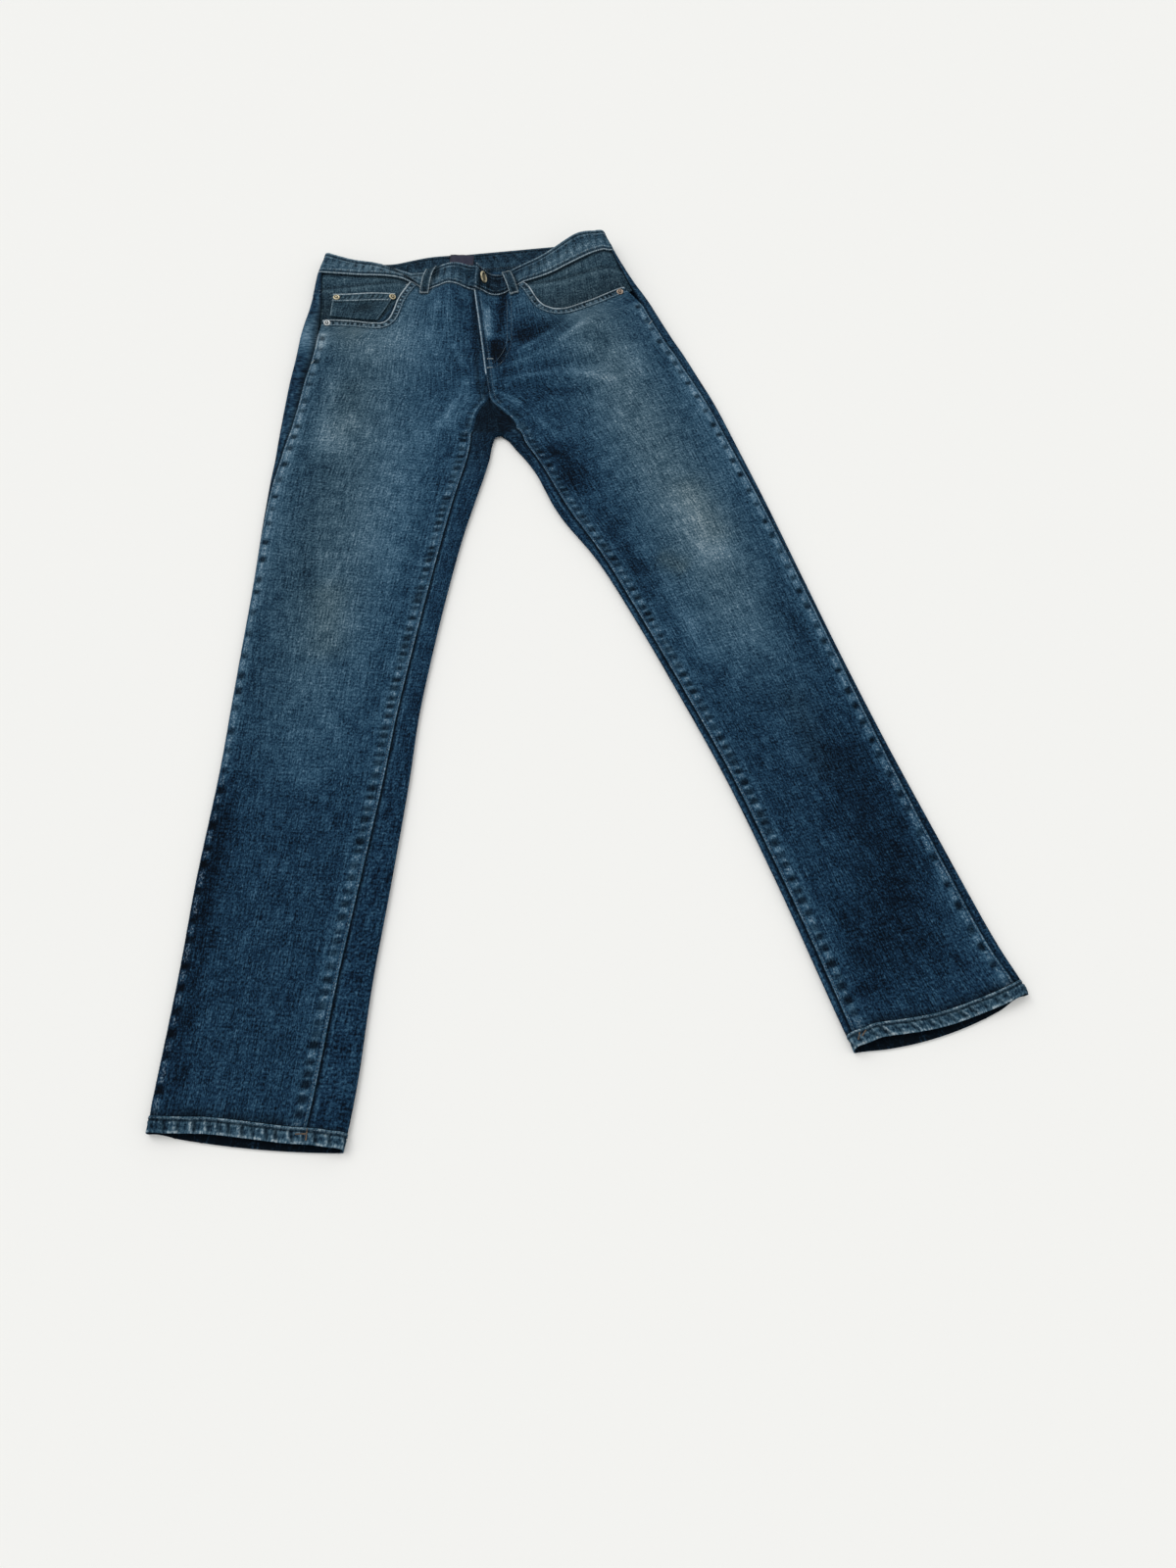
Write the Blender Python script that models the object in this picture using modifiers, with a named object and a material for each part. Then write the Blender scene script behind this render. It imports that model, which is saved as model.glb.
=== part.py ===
"""Slim fit five-pocket jeans, laid on their back on a flat surface, as cloth walls.

Each half of the jeans is a flattened tube worked out from rows that cross it: LEG rows from the hem
to the crotch and HIP rows from the crotch to the top of the waistband. A row gives the folded outer
edge, the inner edge, where the seams lie and how high the cloth stands. Every panel is a sheet on
that tube with a wall inside it. Plan positions are millimetres on the surface, +X to the photo's
right and +Y to the waist. The whole is centred at the end.
"""

import functools
import math
from collections import namedtuple

import bmesh
import bpy
from mathutils import Vector
from mathutils.bvhtree import BVHTree

MM = 0.001

# Cloth, in millimetres.
WALL = 1.3
BAND_WALL = 2.6
HEM_WALL = 2.4
HEM_LIFT = 0.7
SEAM_GAP = 0.3
LAYER_GAP = 0.35
SEAT_REST = 1.9
POCKET_WALL = 1.5
FLY_UNDERLAP = 8.0
FLY_CLEAR = 0.6

# Metal and trims, in millimetres.
RIVET_RADIUS = 4.8
BUTTON_RADIUS = 8.5
LOOP_WIDTH = 11.0
LOOP_WALL = 1.8
LOOP_ARCH = 2.4
LABEL_WALL = 1.0

# Cells in the sheets.
LEG_CELLS = 30
HIP_CELLS = 14
YOKE_CELLS = 4
BAND_CELLS = 4
FRONT_CELLS = 16
FOLD_CELLS = 8
UNDER_CELLS = 4
BEND_CELLS = 5
FORK_CELLS = 4
POCKET_CELLS = 6
STRAIGHT_CELLS = HIP_CELLS - POCKET_CELLS
BACK_TOP_CELLS = 3
BAND_FRONT_CELLS = 20
BAND_UNDER_CELLS = 8
HEM_CELLS = 2
HEM_FRONT_CELLS = 14
HEM_UNDER_CELLS = 6
FACING_ROWS = 4
COIN_CELLS = 8
COIN_ROWS = 4
LOOP_COLUMNS = 3
LOOP_ROWS = 9
TURN_CELLS = 2
ROUND_STEPS = 14
SHARP = math.radians(50)
# Distances of the front's last columns from the outseam, so that its fold is round.
CLOSE_COLUMNS = (0.0, 3.0, 6.5, 11.0)

# Where the seams run, as numbers of rows in LEG and HIP.
HEM_ROW = 1.0
HEM_END = 0.979
POCKET_ROW = 3.85
YOKE_ROW = 5.25
YOKE_GAP = 0.004
WAIST_ROW = 6.0
WAIST_GAP = 0.006

# The fork of the back, between the inseams.
FORK_TIP = (-152.0, 947.0)
FORK_ROW = 2
FORK_LOW = 6.3

# How far in from a folded edge the cloth beside it is lifted, on a leg and at the waist.
EDGE_REACH = 48.0
WAIST_REACH = 110.0
# The cloth of the hips stands at least this much off the layer under it.
HIP_SLACK = 1.6
BAND_LOWEST = 7.6

# The wearer's left laps over the right from this row on, as far in as this.
LAP_ROW = 2.3
LAP_FULL = 10.0
LAP_REACH = 24.0
LAP_COLUMNS = 5
UNDERLAP_ROW = 3.2

FACING_BEHIND = 8.0
FACING_SHORT = 0.03
FACING_DROP = 2.6
COIN_RISE = 0.75
COIN_TOP_INNER = (-301.5, 1133.5)
COIN_TOP_OUTER = (-386.0, 1124.0)
COIN_LOW_INNER = -318.0
COIN_LOW = 1081.5
BACK_LOOP_LENGTH = 46.0
LABEL_SIZE = (34.0, 22.0)
LABEL_PLACE = (-219.5, 1219.5)
LABEL_TURN = 0.06
# From the waist seam to the top of the band.
LOOP_RIGHT = ((-261.0, 1143.0), (-260.0, 1183.0))
LOOP_LEFT = ((-138.0, 1151.0), (-151.0, 1186.0))

LegRow = namedtuple("LegRow", "name outer_x outer_y inner_x inner_y outseam inseam fold_out fold_in middle")
HipRow = namedtuple(
    "HipRow", "name outer_x outer_y front_x front_y back_x back_y outseam fold_out centre middle rest"
)
Fold = namedtuple("Fold", "name from_x from_y to_x to_y width height")

# outer and inner are the folded edges seen from above. outseam and inseam are how far the seam lies
# in from its edge, fold_out and fold_in the radii of the edges, middle the height between them.
LEG = {
    "right": [
        LegRow("hem", -354.0, 62.5, -183.5, 57, 0, 35, 3.9, 3.9, 5.8),
        LegRow("hem stitch", -355.0, 76.5, -182.5, 71, 0, 35, 3.8, 3.8, 5.6),
        LegRow("ankle", -357.0, 120, -181.0, 120, 0, 35, 3.5, 3.5, 4.7),
        LegRow("shin", -361.0, 200, -182.0, 200, 0, 32, 3.4, 3.4, 4.4),
        LegRow("low calf", -367.5, 290, -179.5, 290, 0, 30, 3.4, 3.4, 4.3),
        LegRow("calf", -372.0, 400, -177.5, 400, 0, 26, 3.4, 3.4, 4.3),
        LegRow("below knee", -378.0, 480, -178.0, 480, 0, 23, 3.4, 3.4, 4.4),
        LegRow("knee", -384.0, 560, -174.0, 560, 0, 22, 3.4, 3.4, 4.6),
        LegRow("above knee", -390.0, 640, -168.0, 640, 0.15, 22, 3.4, 3.4, 4.7),
        LegRow("low thigh", -397.5, 720, -160.0, 720, 1, 23, 3.4, 3.4, 4.8),
        LegRow("thigh", -402.0, 780, -151.0, 780, 3.5, 26, 3.5, 3.5, 4.9),
        LegRow("high thigh", -405.0, 830, -143.5, 828, 8, 27, 3.5, 3.5, 5.1),
        LegRow("under crotch", -407.5, 865, -139.8, 860, 12, 27, 3.6, 3.6, 5.3),
        LegRow("crotch turn", -408.4, 877, -139.2, 875, 14, 28, 3.6, 3.6, 5.4),
        LegRow("crotch bend", -409.2, 889, -136.6, 885, 15, 33, 3.6, 3.6, 5.4),
        LegRow("crotch", -410.0, 900, -130.15, 888, 16, 40, 3.6, 3.6, 5.4),
    ],
    "left": [
        LegRow("hem", 430.0, 228, 262.0, 165, 8, 5, 3.9, 3.9, 5.8),
        LegRow("hem stitch", 425.0, 241, 256.5, 178, 8, 5, 3.8, 3.8, 5.6),
        LegRow("ankle", 404.0, 283, 239.5, 219, 10, 6, 3.5, 3.5, 4.7),
        LegRow("shin", 369.0, 367, 201.0, 313, 9, 6, 3.4, 3.4, 4.4),
        LegRow("calf", 323.0, 479, 151.0, 426, 7, 6, 3.4, 3.4, 4.4),
        LegRow("knee", 283.0, 584, 101.0, 524, 5, 6, 3.4, 3.4, 4.5),
        LegRow("above knee", 241.5, 699, 50.5, 618, 5, 6, 3.4, 3.4, 4.7),
        LegRow("low thigh", 206.0, 798, 1.0, 702, 6, 8, 3.4, 3.4, 4.8),
        LegRow("thigh", 173.5, 884, -49.0, 768, 8, 13, 3.5, 3.5, 4.9),
        LegRow("high thigh", 144.0, 961, -83.5, 833, 10, 11, 3.6, 3.5, 5.2),
        LegRow("crotch turn", 122.0, 1009, -112.0, 870, 11, 15, 3.6, 3.6, 5.4),
        LegRow("crotch bend", 114.0, 1026, -121.5, 882, 11.5, 20, 3.6, 3.6, 5.4),
        LegRow("crotch", 106.0, 1043, -129.85, 888, 12, 23.5, 3.7, 3.6, 5.4),
    ],
}

# front is the end of the row on the front: the inseam, then the centre seam, then the fly. back is
# the centre back seam, underneath. rest is how high the underside lies: the seat lies on its
# pockets and belt loops.
HIP = {
    "right": [
        HipRow("crotch", -410.0, 900, -165.5, 893, -130.0, 891.6, 16, 3.6, 5.8, 5.4, 0.0),
        HipRow("fork", -411.5, 930, -162.5, 922, -138.5, 924, 18, 3.7, 6.4, 6.0, 0.9),
        HipRow("front fork", -412.5, 957, -152.0, 947, -147.5, 955, 19, 3.9, 7.4, 6.9, 1.9),
        HipRow("fly base", -413.5, 1003, -162.0, 993, -160.5, 1000, 22, 4.2, 8.8, 7.6, 1.9),
        HipRow("low hip", -415.5, 1050, -172.5, 1045, -174.0, 1048, 23, 4.6, 10.2, 8.2, 1.9),
        HipRow("high hip", -413.5, 1105, -183.5, 1092, -191.0, 1106, 15, 5.0, 11.2, 9.2, 1.9),
        HipRow("waist seam", -416.0, 1166, -193.0, 1149, -214.0, 1193, 7, 5.4, 12.0, 11.2, 1.9),
        HipRow("waist top", -413.0, 1207, -194.5, 1194, -220.5, 1232, 6, 5.6, 12.0, 11.5, 1.9),
    ],
    "left": [
        HipRow("crotch", 106.0, 1043, -113.8, 902.6, -130.0, 891.6, 12, 3.7, 6.4, 5.4, 0.0),
        HipRow("fork", 98.0, 1058, -119.0, 914, -138.5, 924, 12, 3.9, 6.6, 6.0, 0.9),
        HipRow("front fork", 88.0, 1075, -152.0, 947, -147.5, 955, 13, 4.4, 7.4, 7.0, 1.9),
        HipRow("fly base", 70.0, 1110, -162.0, 993, -160.5, 1000, 13, 5.2, 8.8, 7.9, 1.9),
        HipRow("low hip", 49.0, 1152, -172.5, 1045, -174.0, 1048, 13, 6.4, 10.2, 8.8, 1.9),
        HipRow("high hip", 22.0, 1199, -183.5, 1092, -191.0, 1106, 10, 8.2, 11.2, 10.4, 1.9),
        HipRow("waist seam", 0.0, 1243, -193.0, 1149, -214.0, 1193, 8, 10.6, 12.0, 14.0, 1.9),
        HipRow("waist top", -17.0, 1283, -194.5, 1194, -220.5, 1232, 6, 11.6, 12.0, 16.0, 1.9),
    ],
}

# The waist seam and the top of the band on the front: from the fly to the pocket mouth, then on to
# the side.
WAIST_SEAM = {
    "right": [(-193, 1146), (-214, 1150), (-234, 1154), (-252, 1150), (-268, 1153), (-284, 1159)],
    "left": [(-193, 1146), (-172, 1143), (-150, 1152), (-127, 1172)],
}
SIDE_SEAM = {
    "right": [(-284, 1159), (-302, 1166), (-340, 1164), (-375, 1166), (-409, 1163)],
    "left": [(-127, 1172), (-100, 1187), (-60, 1210), (-20, 1238), (-9, 1244)],
}
WAIST_TOP = {
    "right": [(-195, 1194), (-214, 1193), (-234, 1195), (-252, 1192), (-268, 1184), (-284, 1175)],
    "left": [(-195, 1194), (-172, 1184), (-150, 1192), (-127, 1208)],
}
SIDE_TOP = {
    "right": [(-284, 1175), (-302, 1180), (-340, 1190), (-375, 1197), (-406, 1205)],
    "left": [(-127, 1208), (-100, 1229), (-60, 1263), (-28, 1288)],
}
# The pocket mouth, from the waist seam to the rivet at the outseam.
POCKET = {
    "right": [
        (-284, 1159), (-291, 1142), (-297, 1122), (-300, 1100), (-304, 1084), (-313, 1075),
        (-330, 1074), (-355, 1075), (-390, 1071),
    ],
    "left": [
        (-127, 1172), (-117, 1162), (-108, 1147), (-99, 1134), (-88, 1127), (-76, 1125), (-60, 1129),
        (-38, 1142), (-14, 1156), (14, 1170),
    ],
}

# The largest folds on the front: ridges are high, troughs are low. Those that start above
# FOLDS_FROM_WAIST run out of the top of the band at their full height.
FOLDS_FROM_WAIST = 1150
FOLDS = [
    Fold("bulge beside the fly", -222, 1215, -222, 1070, 22, 9.0),
    Fold("fly ridge", -194, 1215, -168, 1000, 10, 3.5),
    Fold("valley beside the fly", -160, 1200, -146, 1020, 16, -4.0),
    Fold("valley at the belt loop", -266, 1215, -262, 1110, 11, -4.5),
    Fold("side bulge", -330, 1200, -335, 1100, 28, 3.5),
    Fold("raised side", -50, 1275, -70, 1170, 42, 5.0),
    Fold("upper whisker", -140, 1020, -10, 1120, 13, 2.6),
    Fold("upper trough", -120, 1055, -45, 1110, 15, -2.4),
    Fold("lower whisker", -140, 985, 25, 1015, 13, 2.2),
    Fold("lower trough", -125, 960, -20, 905, 15, -2.0),
    Fold("right hip whisker", -190, 990, -300, 1030, 14, 1.6),
    Fold("right thigh trough", -214, 860, -200, 620, 11, -2.2),
    Fold("right side trough", -372, 800, -344, 120, 13, -1.6),
    Fold("right knee ridge", -300, 700, -270, 560, 22, 1.6),
    Fold("right knee trough", -345, 640, -290, 520, 15, -1.3),
    Fold("left thigh trough", -65, 860, 75, 660, 16, -2.2),
    Fold("left knee ridge", 100, 800, 160, 620, 20, 1.8),
    Fold("left knee trough", 140, 760, 75, 690, 14, -1.5),
    Fold("left shin trough", 275, 540, 318, 250, 15, -2.4),
    Fold("left shin ridge", 232, 470, 285, 330, 18, 1.4),
]

# The front's column at which the waist seam ends and the pocket mouth starts.
POCKET_COLUMN = {"right": 8, "left": 5}

# Where the back of the waist dips toward the hems, on the wearer's right.
BACK_DIP_X = -325.0
BACK_DIP_WIDTH = 45.0
BACK_DIP = 17.0

# How far the front of each hem lies short of its back, across the leg from the outseam side.
HEM_SHORT = {
    "right": [1.0, 4.0, 7.0, 7.5, 7.0, 6.0, 5.5, 3.0],
    "left": [1.0, 3.0, 5.0, 6.0, 7.5, 9.5, 10.0, 4.0],
}
# How far the middle of each hem bows down, and the rows over which the bow and the short front fade.
HEM_BOW = {"right": 3.5, "left": 10.0}
HEM_BOW_ROWS = (1.0, 2.6)

Button = namedtuple("Button", "name x y")
RIVETS = [
    Button("rivet_coin_outer", -380.0, 1117.5),
    Button("rivet_coin_inner", -304.0, 1126.5),
    Button("rivet_right_pocket", -383.5, 1066.0),
    Button("rivet_left_pocket", 9.5, 1161.0),
]
FLY_BUTTON = Button("button", -181.0, 1170.0)
# The share of the way from the side to the centre back.
BackLoop = namedtuple("BackLoop", "name half share")
BACK_LOOPS = [
    BackLoop("belt_loop_back_right", "right", 0.36),
    BackLoop("belt_loop_back", "right", 0.955),
    BackLoop("belt_loop_back_left", "left", 0.36),
]
# Radius and height down the outer side of a turned trim.
RIVET_PROFILE = [(0.0, 1.6), (1.6, 1.5), (2.0, 1.1), (3.2, 1.2), (4.5, 0.7), (4.8, 0.0), (0.0, 0.0)]
BUTTON_PROFILE = [
    (0.0, 2.4), (5.4, 2.3), (6.0, 3.1), (7.4, 3.2), (8.4, 2.4), (8.5, 1.6), (7.6, 0.8), (3.2, 0.6),
    (3.0, 0.0), (0.0, 0.0),
]
BACK_POCKET = [(-72.0, 0.0), (-66.0, -96.0), (0.0, -128.0), (66.0, -96.0), (72.0, 0.0)]

DENIM = "denim"
DENIM_DARK = "denim_inside"
METAL = "metal"
LABEL = "label"
# Colour, roughness, metallic.
MATERIALS = {
    DENIM: ((0.075, 0.150, 0.235, 1.0), 0.85, 0.0),
    DENIM_DARK: ((0.040, 0.075, 0.120, 1.0), 0.90, 0.0),
    METAL: ((0.560, 0.500, 0.380, 1.0), 0.40, 1.0),
    LABEL: ((0.050, 0.040, 0.130, 1.0), 0.80, 0.0),
}


def mix(a, b, t):
    return a + (b - a) * t


def smooth(t):
    t = min(max(t, 0.0), 1.0)
    return t * t * (3.0 - 2.0 * t)


def smooth_value(before, start, end, after, t):
    """A Catmull-Rom value between start (t 0) and end (t 1)."""
    square = 2 * before - 5 * start + 4 * end - after
    cube = 3 * (start - end) + after - before
    return 0.5 * (2 * start + (end - before) * t + square * t**2 + cube * t**3)


def between_rows(rows, t):
    """The row at t, where whole numbers are the table's rows, as one of the table's own rows."""
    last = len(rows) - 1
    index = min(max(int(t), 0), last - 1)
    near = [rows[min(max(index + step, 0), last)][1:] for step in (-1, 0, 1, 2)]
    return type(rows[0])(rows[index].name, *(smooth_value(*column, t - index) for column in zip(*near)))


def length_of(points):
    return sum(math.dist(a, b) for a, b in zip(points, points[1:]))


def along(points, fraction):
    """The point that lies this fraction of the way along a line of plan points."""
    points = [Vector(point) for point in points]
    lengths = [(b - a).length for a, b in zip(points, points[1:])]
    left = min(max(fraction, 0.0), 1.0) * sum(lengths)
    for index, length in enumerate(lengths):
        if left <= length or index == len(lengths) - 1:
            near = [points[min(max(index + step, 0), len(points) - 1)] for step in (-1, 0, 1, 2)]
            return smooth_value(*near, left / length)
        left -= length


def outward(edge, t, inside):
    """The unit plan vector that leaves the folded edge at t, away from the point inside."""
    step = 0.02
    run = edge(t + step) - edge(t - step)
    normal = Vector((run.y, -run.x)).normalized()
    return normal if normal.dot(edge(t) - inside) > 0 else -normal


def fold_height(x, y):
    """What the folds of FOLDS add at a plan point."""
    total = 0.0
    for fold in FOLDS:
        start = Vector((fold.from_x, fold.from_y))
        run = Vector((fold.to_x, fold.to_y)) - start
        here = Vector((x, y)) - start
        part = min(max(here.dot(run) / run.length_squared, 0.0), 1.0)
        away = (here - run * part).length / fold.width
        from_waist = fold.from_y > FOLDS_FROM_WAIST
        fade = smooth(2.5 * (1.0 - part)) if from_waist else smooth(4 * part) * smooth(4 * (1.0 - part))
        total += fold.height * fade * math.exp(-away * away)
    return total


def edge_lift(distance, reach=EDGE_REACH):
    return 1.0 - smooth(distance / reach)


def soft_floor(height, lowest):
    """The height, held above the lowest without a crease."""
    over = height - lowest
    return lowest + 0.5 * (over + math.sqrt(over * over + 0.6))


class Section:
    """One row across a half, with its folded edges. Distances along it are from the outer edge."""

    def __init__(self, half, t, in_hip):
        self.half = half
        self.hip = in_hip
        rows = HIP[half] if in_hip else LEG[half]
        row = between_rows(rows, t)
        self.t = t
        self.row = row
        self.outer = Vector((row.outer_x, row.outer_y))
        self.rest = row.rest if in_hip else 0.0
        if in_hip:
            self.front = self.centre_front(rows)
            self.back = Vector((row.back_x, row.back_y))
            inside = self.front
        else:
            inside = Vector((row.inner_x, row.inner_y))
        outer_edge = lambda at: Vector(between_rows(rows, at)[1:3])
        self.outer_way = outward(outer_edge, t, inside)
        self.outer_foot = self.outer - self.outer_way * row.fold_out
        if not in_hip:
            self.inner = inside
            inner_edge = lambda at: Vector(between_rows(rows, at)[3:5])
            self.inner_way = outward(inner_edge, t, self.outer)
            turn = smooth((t - (len(rows) - 1 - TURN_CELLS)) / TURN_CELLS)
            self.inner_way = mix(self.inner_way, Vector((0.0, -1.0)), turn).normalized()
            self.inner_foot = self.inner - self.inner_way * row.fold_in
            self.front = self.back = self.inner_foot

    def centre_front(self, rows):
        """The row's end on the front. The inseam and the centre seam meet in a corner at the fork."""
        below, above = rows[: FORK_ROW + 1], rows[FORK_ROW:]
        row = between_rows(above, self.t - FORK_ROW) if self.t >= FORK_ROW else between_rows(below, self.t)
        return Vector((row.front_x, row.front_y))

    def length(self):
        return (self.front - self.outer_foot).length

    def height(self, plan):
        """The height of the front's outer face above the surface, at a plan point on this row."""
        row = self.row
        from_outer = (plan - self.outer_foot).length
        from_inner = (plan - self.front).length
        outer_top = self.rest + 2 * row.fold_out
        if self.hip:
            reach = mix(EDGE_REACH, WAIST_REACH, smooth((self.t - 3) / 4.0))
            inner_top = row.centre
        else:
            reach = EDGE_REACH
            inner_top = 2 * row.fold_in
        height = row.middle + (outer_top - row.middle) * edge_lift(from_outer, reach)
        height += (inner_top - row.middle) * edge_lift(from_inner)
        kept = smooth(from_outer / 16.0) * (1.0 if self.hip else smooth(from_inner / 16.0))
        lowest = self.rest + 2 * WALL + (LAYER_GAP + HIP_SLACK if self.hip else LAYER_GAP)
        return soft_floor(height + kept * fold_height(plan.x, plan.y), lowest)

    def hem_shift(self, plan, layer):
        """How far a point is moved along the leg: the hem bows, and its front lies short of its back."""
        if self.hip:
            return Vector((0.0, 0.0))
        values = HEM_SHORT[self.half]
        across = min(max((plan - self.outer_foot).length / self.length(), 0.0), 0.9999)
        place = across * (len(values) - 1)
        index = int(place)
        near = [values[min(max(index + step, 0), len(values) - 1)] for step in (-1, 0, 1, 2)]
        short = smooth_value(*near, place - index) * layer
        bow = HEM_BOW[self.half] * 4.0 * across * (1.0 - across)
        first, last = HEM_BOW_ROWS
        kept = 1.0 - smooth((self.t - first) / (last - first))
        up = Vector((-self.outer_way.y, self.outer_way.x))
        return up * (short - bow) * kept * (1.0 if up.y > 0 else -1.0)

    def solid_point(self, plan, height, layer):
        plan = plan + self.hem_shift(plan, layer)
        return Vector((plan.x, plan.y, height))

    def on_front(self, distance, deep=0.0):
        """A point on the top layer, this far from the outer foot and this deep in the wall."""
        plan = self.outer_foot + (self.front - self.outer_foot).normalized() * distance
        return self.solid_point(plan, self.height(plan) - deep, 1.0)

    def on_outer(self, distance, deep=0.0):
        """A point this far round from the outer edge: on the top layer if positive, else underneath."""
        radius = self.row.fold_out
        quarter = math.pi * radius / 2
        if distance >= quarter:
            return self.on_front(distance - quarter, deep)
        if distance <= -quarter:
            way = (self.back - self.outer_foot).normalized()
            plan = self.outer_foot + way * (-distance - quarter)
            if self.hip:
                away = (plan.x - BACK_DIP_X) / BACK_DIP_WIDTH
                plan.y -= BACK_DIP * math.exp(-away * away) * smooth((self.t - YOKE_ROW) / 0.7)
            return self.solid_point(plan, self.rest + deep, 0.0)
        return self.in_fold(self.outer_foot, self.outer_way, radius, distance / radius, deep)

    def in_fold(self, foot, way, radius, angle, deep):
        """A point in a folded edge, at an angle above the level."""
        plan = foot + way * (radius - deep) * math.cos(angle)
        height = self.rest + radius + (radius - deep) * math.sin(angle)
        return self.solid_point(plan, height, 0.5 + 0.5 * math.sin(angle))

    def on_inner(self, distance, deep=0.0):
        """The same from the inner edge of a leg."""
        radius = self.row.fold_in
        quarter = math.pi * radius / 2
        if distance >= quarter:
            return self.on_front(self.length() - (distance - quarter), deep)
        angle = max(distance / radius, -math.pi / 2)
        return self.in_fold(self.inner_foot, self.inner_way, radius, angle, deep)

    def seam_at(self, inset, radius):
        """The distance round from the edge of a seam that lies this far in, seen from above."""
        if inset >= radius:
            return inset - radius + math.pi * radius / 2
        return radius * math.acos(1.0 - max(inset, 0.0) / radius)

    def outseam(self):
        return self.seam_at(self.row.outseam, self.row.fold_out)

    def inseam(self):
        return self.seam_at(self.row.inseam, self.row.fold_in)


def row_after(rows, fraction, first, last):
    """The row number that lies a fraction of the way, by length, between two row numbers."""
    numbers = [mix(first, last, step / 60) for step in range(61)]
    places = [between_rows(rows, number) for number in numbers]
    steps = [
        math.dist(a[1:3], b[1:3]) + math.dist(a[3:5], b[3:5]) + 1.0 for a, b in zip(places, places[1:])
    ]
    left = fraction * sum(steps)
    for number, following, step in zip(numbers, numbers[1:], steps):
        if left <= step:
            return mix(number, following, left / step)
        left -= step
    return last


@functools.cache
def leg_section(half, row):
    """The leg's section at a row of cells. The last rows turn round the crotch."""
    last = len(LEG[half]) - 1
    turning = row - LEG_CELLS
    if turning > -TURN_CELLS:
        return Section(half, float(last + turning), False)
    straight = LEG_CELLS - TURN_CELLS
    return Section(half, row_after(LEG[half], row / straight, HEM_ROW, last - TURN_CELLS), False)


def hip_section(half, t):
    return Section(half, t, True)


def hip_row_through(half, plan):
    """The number of the hip row that passes through a plan point."""
    low, high = 0.0, len(HIP[half]) - 1.0
    for _ in range(18):
        middle = 0.5 * (low + high)
        section = hip_section(half, middle)
        run = section.front - section.outer_foot
        past = run.x * (plan.y - section.outer_foot.y) - run.y * (plan.x - section.outer_foot.x)
        if past * (1 if run.x > 0 else -1) > 0:
            low = middle
        else:
            high = middle
    return 0.5 * (low + high)


def hip_height(half, plan):
    """The height of the front's outer face at a plan point between the crotch and the waist."""
    section = hip_section(half, hip_row_through(half, plan))
    return section.height(plan)


def top_height(half, plan, wall=WALL):
    """The height of the outer face, where the wearer's left laps over the right at the fly."""
    height = hip_height(half, plan)
    if half == "right":
        return height
    section = hip_section(half, hip_row_through(half, plan))
    past = (plan - section.front).length
    lap = smooth((section.t - LAP_ROW) / 0.7) * (1.0 - smooth((past - LAP_FULL) / LAP_REACH))
    return mix(height, hip_height("right", plan) + wall + FLY_CLEAR, lap) if lap > 0 else height


def on_hip(half, plan, drop=0.0):
    """A point on the hips' top layer, lowered by drop."""
    return Vector((plan.x, plan.y, top_height(half, plan) - drop))


def sheet(name, columns, rows, place, wall, material):
    """A cloth wall. Its outer face is a grid whose points go where place(column, row, 0) says, and
    its inner face is that grid extruded to place(column, row, wall). Points that place leaves out
    are removed."""
    work = bmesh.new()
    bmesh.ops.create_grid(work, x_segments=columns, y_segments=rows, size=0.5)
    column_of = work.verts.layers.int.new("column")
    row_of = work.verts.layers.int.new("row")
    left_out = []
    for point in work.verts:
        point[column_of] = round((point.co.x + 0.5) * columns)
        point[row_of] = round((point.co.y + 0.5) * rows)
        spot = place(point[column_of], point[row_of], 0.0)
        if spot is None:
            left_out.append(point)
        else:
            point.co = spot * MM
    bmesh.ops.delete(work, geom=left_out, context="VERTS")
    bmesh.ops.remove_doubles(work, verts=work.verts, dist=1e-7)
    made = bmesh.ops.extrude_face_region(work, geom=list(work.faces), use_keep_orig=True)["geom"]
    for point in made:
        if isinstance(point, bmesh.types.BMVert):
            point.co = place(point[column_of], point[row_of], wall) * MM
    bmesh.ops.recalc_face_normals(work, faces=work.faces)
    mesh = bpy.data.meshes.new(name)
    work.to_mesh(mesh)
    work.free()
    mesh.shade_smooth()
    mesh.set_sharp_from_angle(angle=SHARP)
    return add_object(name, mesh, material)


def add_object(name, mesh, material):
    obj = bpy.data.objects.new(name, mesh)
    mesh.materials.append(material_named(material))
    bpy.data.collections["jeans"].objects.link(obj)
    return obj


def material_named(name):
    if name in bpy.data.materials:
        return bpy.data.materials[name]
    material = bpy.data.materials.new(name)
    material.use_nodes = True
    shader = material.node_tree.nodes["Principled BSDF"]
    colour, roughness, metallic = MATERIALS[name]
    shader.inputs["Base Color"].default_value = colour
    shader.inputs["Roughness"].default_value = roughness
    shader.inputs["Metallic"].default_value = metallic
    material.diffuse_color = colour
    return material


def to_corner(half, line, column):
    """A column's place on a line of the waist, from the fly to the pocket's corner. At the fly columns
    0 and 1 of one half lie where columns 1 and 0 of the other do, so that both bend alike."""
    points = line[half]
    if half == "right":
        if column == 0:
            return Vector(points[0]) + Vector((FLY_UNDERLAP, 0.0))
        return along(points, (column - 1) / (POCKET_COLUMN[half] - 1))
    if column == 0:
        return Vector(points[0])
    start = FLY_UNDERLAP / length_of(points)
    return along(points, mix(start, 1.0, (column - 1) / (POCKET_COLUMN[half] - 1)))


def front_top_edge(half, column):
    """The front panel's upper edge: along the waist seam from the fly, then down the pocket mouth."""
    corner = POCKET_COLUMN[half]
    if column <= corner:
        return to_corner(half, WAIST_SEAM, column)
    return along(POCKET[half], (column - corner) / (FRONT_CELLS - corner))


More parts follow.
